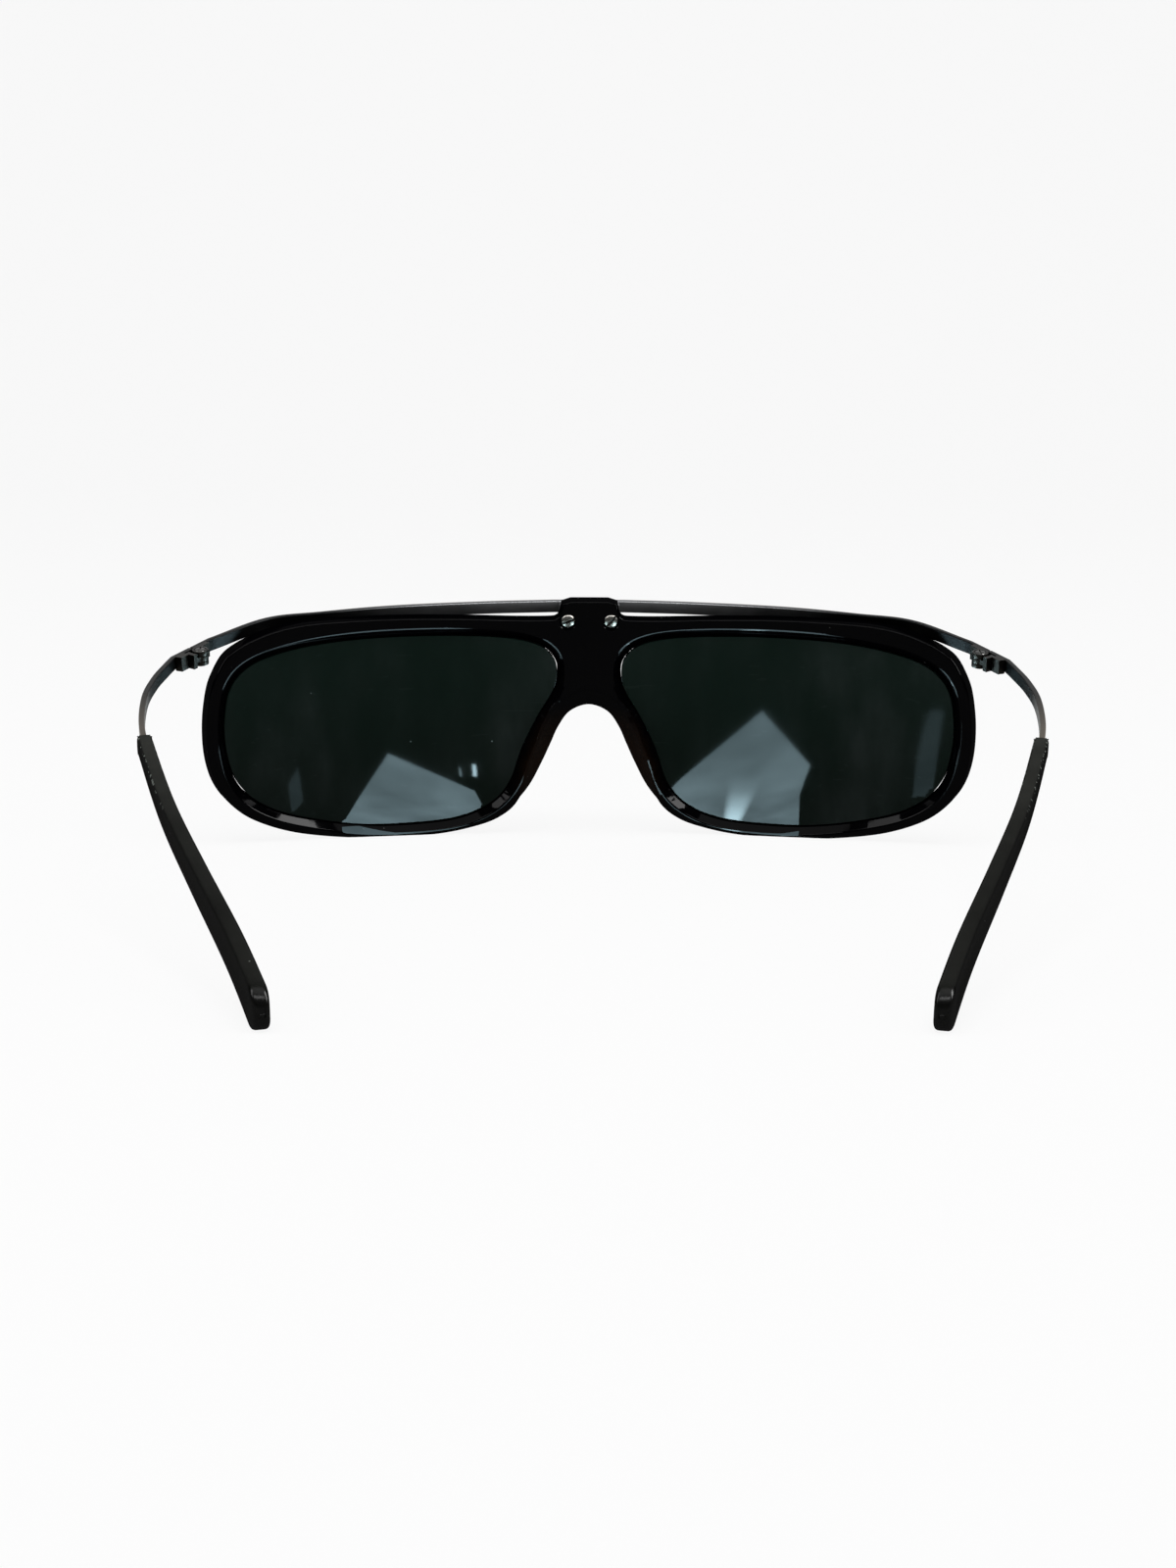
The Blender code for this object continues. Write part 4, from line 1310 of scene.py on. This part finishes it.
@dataclass
class BrowBar(Ribbon):
    """The slim metal bar across the top, and the plate brazed behind its middle."""

    steps: int = 10
    plate_edge: float = 0.00012

    def build(self) -> None:
        """Build the bar and its plate."""
        bar = self.strip(self.bench.layout.bar_path(self.steps))
        self.bench.piece("brow_bar_strip", bar, Slot.GUNMETAL, "brow_bar", "front")
        plate = eased(frame["nodes"]["bridge_plate"], self.plate_edge, segments=2)
        slot, node = Slot.GUNMETAL, "bridge_plate"
        self.bench.piece("brazed_plate", plate, slot, node, "front", worn=False)


@dataclass
class Temple(Ribbon):
    """One folding temple: a metal strip in an acetate sleeve that deepens toward its end."""

    steps: int = 8
    sleeve_start: float = 0.0412
    core_stop: float = 0.0120
    start_height: float = 0.0038
    end_height: float = 0.0074
    start_thickness: float = 0.0026
    end_thickness: float = 0.0031
    swell: float = 1.3
    squareness: float = 0.45
    sides: int = 40
    stations: int = 44
    cap_stations: int = 12
    cap_turn: float = math.radians(84.0)
    mouth_round: float = 0.0003

    def build(self, side: Side) -> None:
        """Build the strip and the sleeve of one side."""
        line = Path(self.bench.layout.temple_path(self.steps))
        stop = line.length - self.core_stop
        path = [p for p, mark in zip(line.points, line.marks) if mark < stop]
        strip = self.strip([*path, line.place(stop)], self.sleeve_start + self.mouth_round)
        sleeve = self.sleeve(line)
        if side is Side.RIGHT:
            strip, sleeve = mirrored(strip), mirrored(sleeve)
        word, dulled = side.word, self.bench.sleeve_finish
        for name, bm, slot, node, finish in (
            ("temple_strip_", strip, Slot.GUNMETAL, "temple_bar_", None),
            ("temple_sleeve_", sleeve, Slot.ACETATE, "temple_tip_", dulled),
        ):
            self.bench.piece(name + word, bm, slot, node + word, "temple_" + word, finish)

    def sleeve(self, line: Path) -> BMesh:
        """Draw the left sleeve out straight from a circle, then lay it along the temple.

        Args:
            line: The temple's outer face.

        Returns:
            The sleeve's body.
        """
        length = line.length - self.sleeve_start
        cap = self.end_height / 2
        marks = [(length - cap) * i / self.stations for i in range(1, self.stations)]
        turns = [self.cap_turn * i / self.cap_stations for i in range(self.cap_stations + 1)]
        marks += [length - cap * (1 - math.sin(turn)) for turn in turns]
        bm = bmesh.new()
        bmesh.ops.create_circle(bm, cap_ends=True, segments=self.sides, radius=1.0)
        # Each ring grows from the last end face, which then goes, but for the one at the mouth.
        for before, mark in zip([0.0, *marks], marks):
            end = max(bm.faces, key=lambda face: (face.calc_center_median().z, len(face.verts)))
            made = bmesh.ops.extrude_face_region(bm, geom=[end], use_keep_orig=True)
            draw_out(bm, made, UP * (mark - before))
            if before > 0.0:
                bmesh.ops.delete(bm, geom=[end], context="FACES_ONLY")
        face_out(bm)
        for vert in bm.verts:
            vert.co = self._laid(line, length, vert.co)
        bevel(bm, sharp_edges(bm, STEEP), self.mouth_round, segments=3)
        face_out(bm)
        if bm.calc_volume(signed=True) < 0.0:
            bmesh.ops.reverse_faces(bm, faces=bm.faces[:])
        return bm

    def _laid(self, line: Path, length: float, point: Vector) -> Vector:
        """Move a point of the straight sleeve to its place on the temple.

        Args:
            line: The temple's outer face.
            length: The sleeve's length.
            point: Across and up on a unit circle, and the distance along the sleeve.

        Returns:
            The place in the worn position.
        """
        distance = point.z
        cap = self.end_height / 2
        past = max(0.0, distance - (length - cap)) / cap
        scale = math.sqrt(max(0.0, 1 - past**2))
        share = distance / length
        thick = self.start_thickness + share * (self.end_thickness - self.start_thickness)
        high = self.start_height + share**self.swell * (self.end_height - self.start_height)
        place = line.place(self.sleeve_start + distance)
        run = line.run(self.sleeve_start + distance, self.start_thickness)
        normal = Vector((-run.y, run.x))
        middle = place + normal * self.bench.layout.bar_thickness / 2
        across = self._pushed(point.x) * thick * math.sqrt(scale) / 2
        up = self._pushed(point.y) * high * scale / 2
        return Vector((*(middle + normal * across), up))

    def _pushed(self, value: float) -> float:
        """Push a sine or cosine outward, which flattens the oval's sides."""
        return math.copysign(abs(value) ** self.squareness, value)


@dataclass
class Hinge:
    """One three-knuckle hinge with its slotted screw."""

    bench: Bench
    leaf_edge: float = 0.00007
    screw_edge: float = 0.00003

    def build(self, side: Side) -> None:
        """Build the leaves and the screw of one side."""
        temple = "temple_" + side.word
        leaf, pin = self.bench.hinge_finish, self.bench.pin_finish
        for node, edge, slot, body, material in (
            ("hinge_front_", self.leaf_edge, Slot.GUNMETAL, "front", leaf),
            ("hinge_temple_", self.leaf_edge, Slot.GUNMETAL, temple, leaf),
            ("hinge_screw_", self.screw_edge, Slot.STEEL, "front", pin),
        ):
            name = node + side.word
            bm = eased(frame["nodes"][name], edge, segments=2)
            self.bench.piece("eased_" + name, bm, slot, name, body, material, worn=False)


@dataclass
class BridgeScrew:
    """A domed, slotted screw through the tab."""

    bench: Bench
    front: AcetateFront
    head_radius: float = 0.00125
    head_height: float = 0.0009
    dome_height: float = 0.0004
    shank_radius: float = 0.0007
    shank_end: float = 0.00116
    fit: float = 0.0001
    slot_width: float = 0.00042
    slot_depth: float = 0.00048
    slot_edge: float = 0.00003
    slot_crease: float = math.radians(50.0)
    grime_share: float = 0.25
    dome_steps: int = 8
    sides: int = 64

    def build(self, side: Side, turn: float) -> Object:
        """Build one screw and put it in place.

        Args:
            side: Which screw.
            turn: How far its slot is turned.

        Returns:
            The finished object.
        """
        seat = self.front.tab_rear - self.front.recess_depth + self.fit
        top = seat + self.head_height
        brim = top - self.dome_height
        profile = [(0.0, self.shank_end), (self.shank_radius, self.shank_end)]
        profile += [(self.shank_radius, seat), (self.head_radius, seat)]
        for i in range(self.dome_steps + 1):
            angle = QUARTER * i / self.dome_steps
            height = brim + self.dome_height * math.sin(angle)
            profile.append((self.head_radius * math.cos(angle), height))
        saw = block(3 * self.head_radius, self.slot_width, 2 * self.slot_depth)
        move(saw, Matrix.Translation(UP * top) @ Matrix.Rotation(turn, 4, "Z"))
        bm = carved(turned(profile, self.sides), [saw])
        bmesh.ops.remove_doubles(bm, verts=bm.verts[:], dist=MERGE)
        bevel(bm, sharp_edges(bm, self.slot_crease), self.slot_edge, segments=2)
        # Shade is painted into the slot, darker the deeper a point lies below the dome.
        grime = bm.verts.layers.float.new("grime")
        for vert in bm.verts:
            out = min(1.0, vert.co.to_2d().length / self.head_radius)
            dome = brim + self.dome_height * math.sqrt(1 - out**2)
            sunk = (dome - vert.co.z) / (self.slot_depth * self.grime_share)
            in_head = vert.co.z > seat + self.fit
            vert[grime] = min(1.0, max(0.0, sunk)) if in_head else 0.0
        move(bm, self.front.screw_place(side))
        name = "bridge_screw_" + side.word
        return self.bench.piece("slotted_" + name, bm, Slot.STEEL, name, "front")


# ---- Studio


@dataclass(frozen=True)
class Softbox:
    """One rectangular lamp. A card only shows as a reflection."""

    name: str
    place: Triple
    width: float
    height: float
    watts: float
    card: bool = False
    aim: Triple = (0.0, 0.0, 0.02)

    def hang(self) -> None:
        """Add the lamp to the scene."""
        lamp = bpy.data.lights.new(self.name, "AREA")
        lamp.shape = "RECTANGLE"
        lamp.size, lamp.size_y = self.width, self.height
        lamp.energy = self.watts
        made = linked(self.name, lamp)
        made.visible_camera = False
        made.visible_diffuse = not self.card
        place = Vector(self.place)
        turn = (Vector(self.aim) - place).to_track_quat("-Z", "Y").to_matrix().to_4x4()
        made.matrix_world = Matrix.Translation(place) @ turn


@dataclass(frozen=True)
class Reflector:
    """A small lit card on the floor behind the lenses, seen only as a reflection in them."""

    name: str
    corners: Pairs
    strength: float
    streak: float = 0.0
    streak_middle: float = 0.0
    streak_slant: float = 0.0
    streak_width: float = 0.003
    streak_from: float = -0.036
    streak_full: float = -0.066
    dimmest: float = 0.4
    cloud_share: float = 1.2
    clouds: Clouds = Clouds(150.0, squeeze=(1.0, 0.4, 1.0))
    lift: float = 0.002
    tint: Triple = (0.62, 0.89, 1.0)

    def lay(self) -> None:
        """Add the card to the scene."""
        bm = bmesh.new()
        bm.faces.new([bm.verts.new((x, y, self.lift)) for x, y in self.corners])
        card = stored(self.name, bm)
        card.data.materials.append(self._glow())
        for rays in ("camera", "diffuse", "transmission", "shadow"):
            setattr(card, "visible_" + rays, False)

    def _glow(self) -> Material:
        """Light the card unevenly, with a soft streak down it if it has one."""
        sheet = NodeSheet.of_material(self.name, self.tint)
        across, behind = (sheet.axis(sheet.place(), name) for name in "XY")
        aside = across - self.streak_middle - self.streak_slant * behind
        near = sheet.between(behind, self.streak_from, self.streak_full)
        streak = sheet.between(aside * aside, self.streak_width**2, 0.0) * near
        even = self.strength * (self.dimmest + self.cloud_share * self.clouds.on(sheet))
        return sheet.surface(sheet.glow(self.tint, even + self.streak * streak))


@dataclass(frozen=True)
class Studio:
    """A pale floor that sweeps up behind the object, soft lamps, and the wearer's-side camera."""

    camera_place: Triple = (0.00810, 0.47486, 0.10602)
    pitch: float = math.radians(10.0)
    yaw: float = math.radians(0.842)
    roll: float = math.radians(0.309)
    image_height: float = 1600.0
    focal_pixels: float = 3000.0
    sensor: float = 36.0
    nearest_seen: float = 0.01
    floor_half_width: float = 1.6
    floor_near: float = 1.4
    floor_far: float = -0.9
    sweep_radius: float = 0.35
    wall_height: float = 1.2
    sweep_steps: int = 24
    room: Triple = (0.16, 0.165, 0.17)
    seen_room: Triple = (0.96, 0.96, 0.96)

    lamps: tuple[Softbox, ...] = (
        Softbox("overhead_softbox", (0.0, 0.20, 0.95), 0.9, 0.6, 6.5),
        Softbox("left_softbox", (0.80, 0.25, 0.55), 0.3, 0.6, 1.2),
        Softbox("right_softbox", (-0.80, 0.25, 0.55), 0.3, 0.6, 1.2),
        Softbox("rear_card", (0.0, 0.70, 0.72), 1.1, 0.16, 12.0, card=True),
        Softbox("left_card", (0.72, 0.20, 0.62), 0.3, 0.7, 12.0, card=True),
        Softbox("right_card", (-0.72, 0.20, 0.62), 0.3, 0.7, 45.0, card=True),
    )
    cards: tuple[Reflector, ...] = (
        Reflector(
            "left_lens_card",
            (
                (0.0230, -0.0300), (0.0180, -0.0450), (0.0182, -0.0600), (0.0220, -0.0690),
                (0.0470, -0.0690),
            ),
            strength=60.0,
            streak=13.0,
            streak_middle=0.0216,
        ),
        Reflector(
            "right_lens_card",
            (
                (-0.0200, -0.0220), (-0.0270, -0.0320), (-0.0305, -0.0440), (-0.0395, -0.0690),
                (-0.0190, -0.0690), (-0.0150, -0.0600), (-0.0140, -0.0480), (-0.0170, -0.0350),
            ),
            strength=61.0,
            streak=230.0,
            streak_middle=-0.0176,
            streak_slant=0.133,
            streak_width=0.0020,
        ),
        Reflector(
            "left_lens_glint",
            ((0.0173, -0.0380), (0.0168, -0.0338), (0.0165, -0.0338), (0.0169, -0.0380)),
            strength=230.0,
        ),
        Reflector(
            "left_lens_glance",
            ((0.0186, -0.0378), (0.0181, -0.0345), (0.0180, -0.0345), (0.0184, -0.0378)),
            strength=88.0,
        ),
        Reflector(
            "left_side_card",
            ((0.0320, -0.0320), (0.0365, -0.0370), (0.0480, -0.0540), (0.0400, -0.0450)),
            strength=10.0,
        ),
        Reflector(
            "right_side_card",
            ((-0.0302, -0.0215), (-0.0462, -0.0400), (-0.0430, -0.0400), (-0.0292, -0.0215)),
            strength=10.0,
        ),
    )

    def build(self) -> None:
        """Build the floor, the lamps, the world and the camera."""
        self._backdrop()
        for lamp in self.lamps:
            lamp.hang()
        for card in self.cards:
            card.lay()
        self._world()
        self._camera()

    def _backdrop(self) -> None:
        """Sweep the floor up into a wall behind the object."""
        line = [(self.floor_near, 0.0)]
        for i in range(self.sweep_steps + 1):
            turn = QUARTER * i / self.sweep_steps
            behind = self.floor_far - self.sweep_radius * math.sin(turn)
            line.append((behind, self.sweep_radius * (1 - math.cos(turn))))
        line.append((self.floor_far - self.sweep_radius, self.wall_height))
        bm = bmesh.new()
        verts = [bm.verts.new((-self.floor_half_width, *point)) for point in line]
        sheet_from(bm, verts, ACROSS * 2 * self.floor_half_width)
        made = stored("floor_and_backdrop", bm)
        made.data.shade_smooth()
        made.data.materials.append(PaperFinish().material())

    def _world(self) -> None:
        """Light the room with a dim, even grey that shows white behind the object."""
        sheet = NodeSheet(bpy.data.worlds.new("dim_room"))
        sockets = {0: sheet.node("ShaderNodeLightPath").out("Is Camera Ray")}
        for number, colour in enumerate((self.room, self.seen_room), start=1):
            sockets[number] = sheet.node("ShaderNodeBackground", {"Color": (*colour, 1.0)})
        mixed = sheet.node("ShaderNodeMixShader", sockets)
        bpy.context.scene.world = sheet.surface(mixed, "ShaderNodeOutputWorld")

    def _camera(self) -> None:
        """Set the camera where the photograph was taken from."""
        lens = bpy.data.cameras.new("camera")
        lens.sensor_width = self.sensor
        lens.lens = self.focal_pixels / self.image_height * self.sensor
        lens.clip_start = self.nearest_seen
        eye = linked("camera", lens)
        matrix = Matrix.Translation(self.camera_place)
        for angle, axis in (
            (math.pi - self.yaw, "Z"),
            (QUARTER - self.pitch, "X"),
            (self.roll, "Z"),
        ):
            matrix @= Matrix.Rotation(angle, 4, axis)
        eye.matrix_world = matrix
        bpy.context.scene.camera = eye


def main() -> None:
    """Build every sub-assembly and the studio."""
    logging.basicConfig(level=logging.INFO, format="%(message)s")
    bpy.context.scene.view_settings.view_transform = "Standard"
    bench = Bench(Layout())
    Studio().build()
    front = AcetateFront(bench)
    front.build()
    BrowBar(bench).build()
    slot_turns = {Side.LEFT: math.radians(20.0), Side.RIGHT: math.radians(50.0)}
    for side in Side:
        Lens(bench).build(side)
        BridgeScrew(bench, front).build(side, slot_turns[side])
        Hinge(bench).build(side)
        Temple(bench).build(side)


if __name__ == "__main__":
    main()
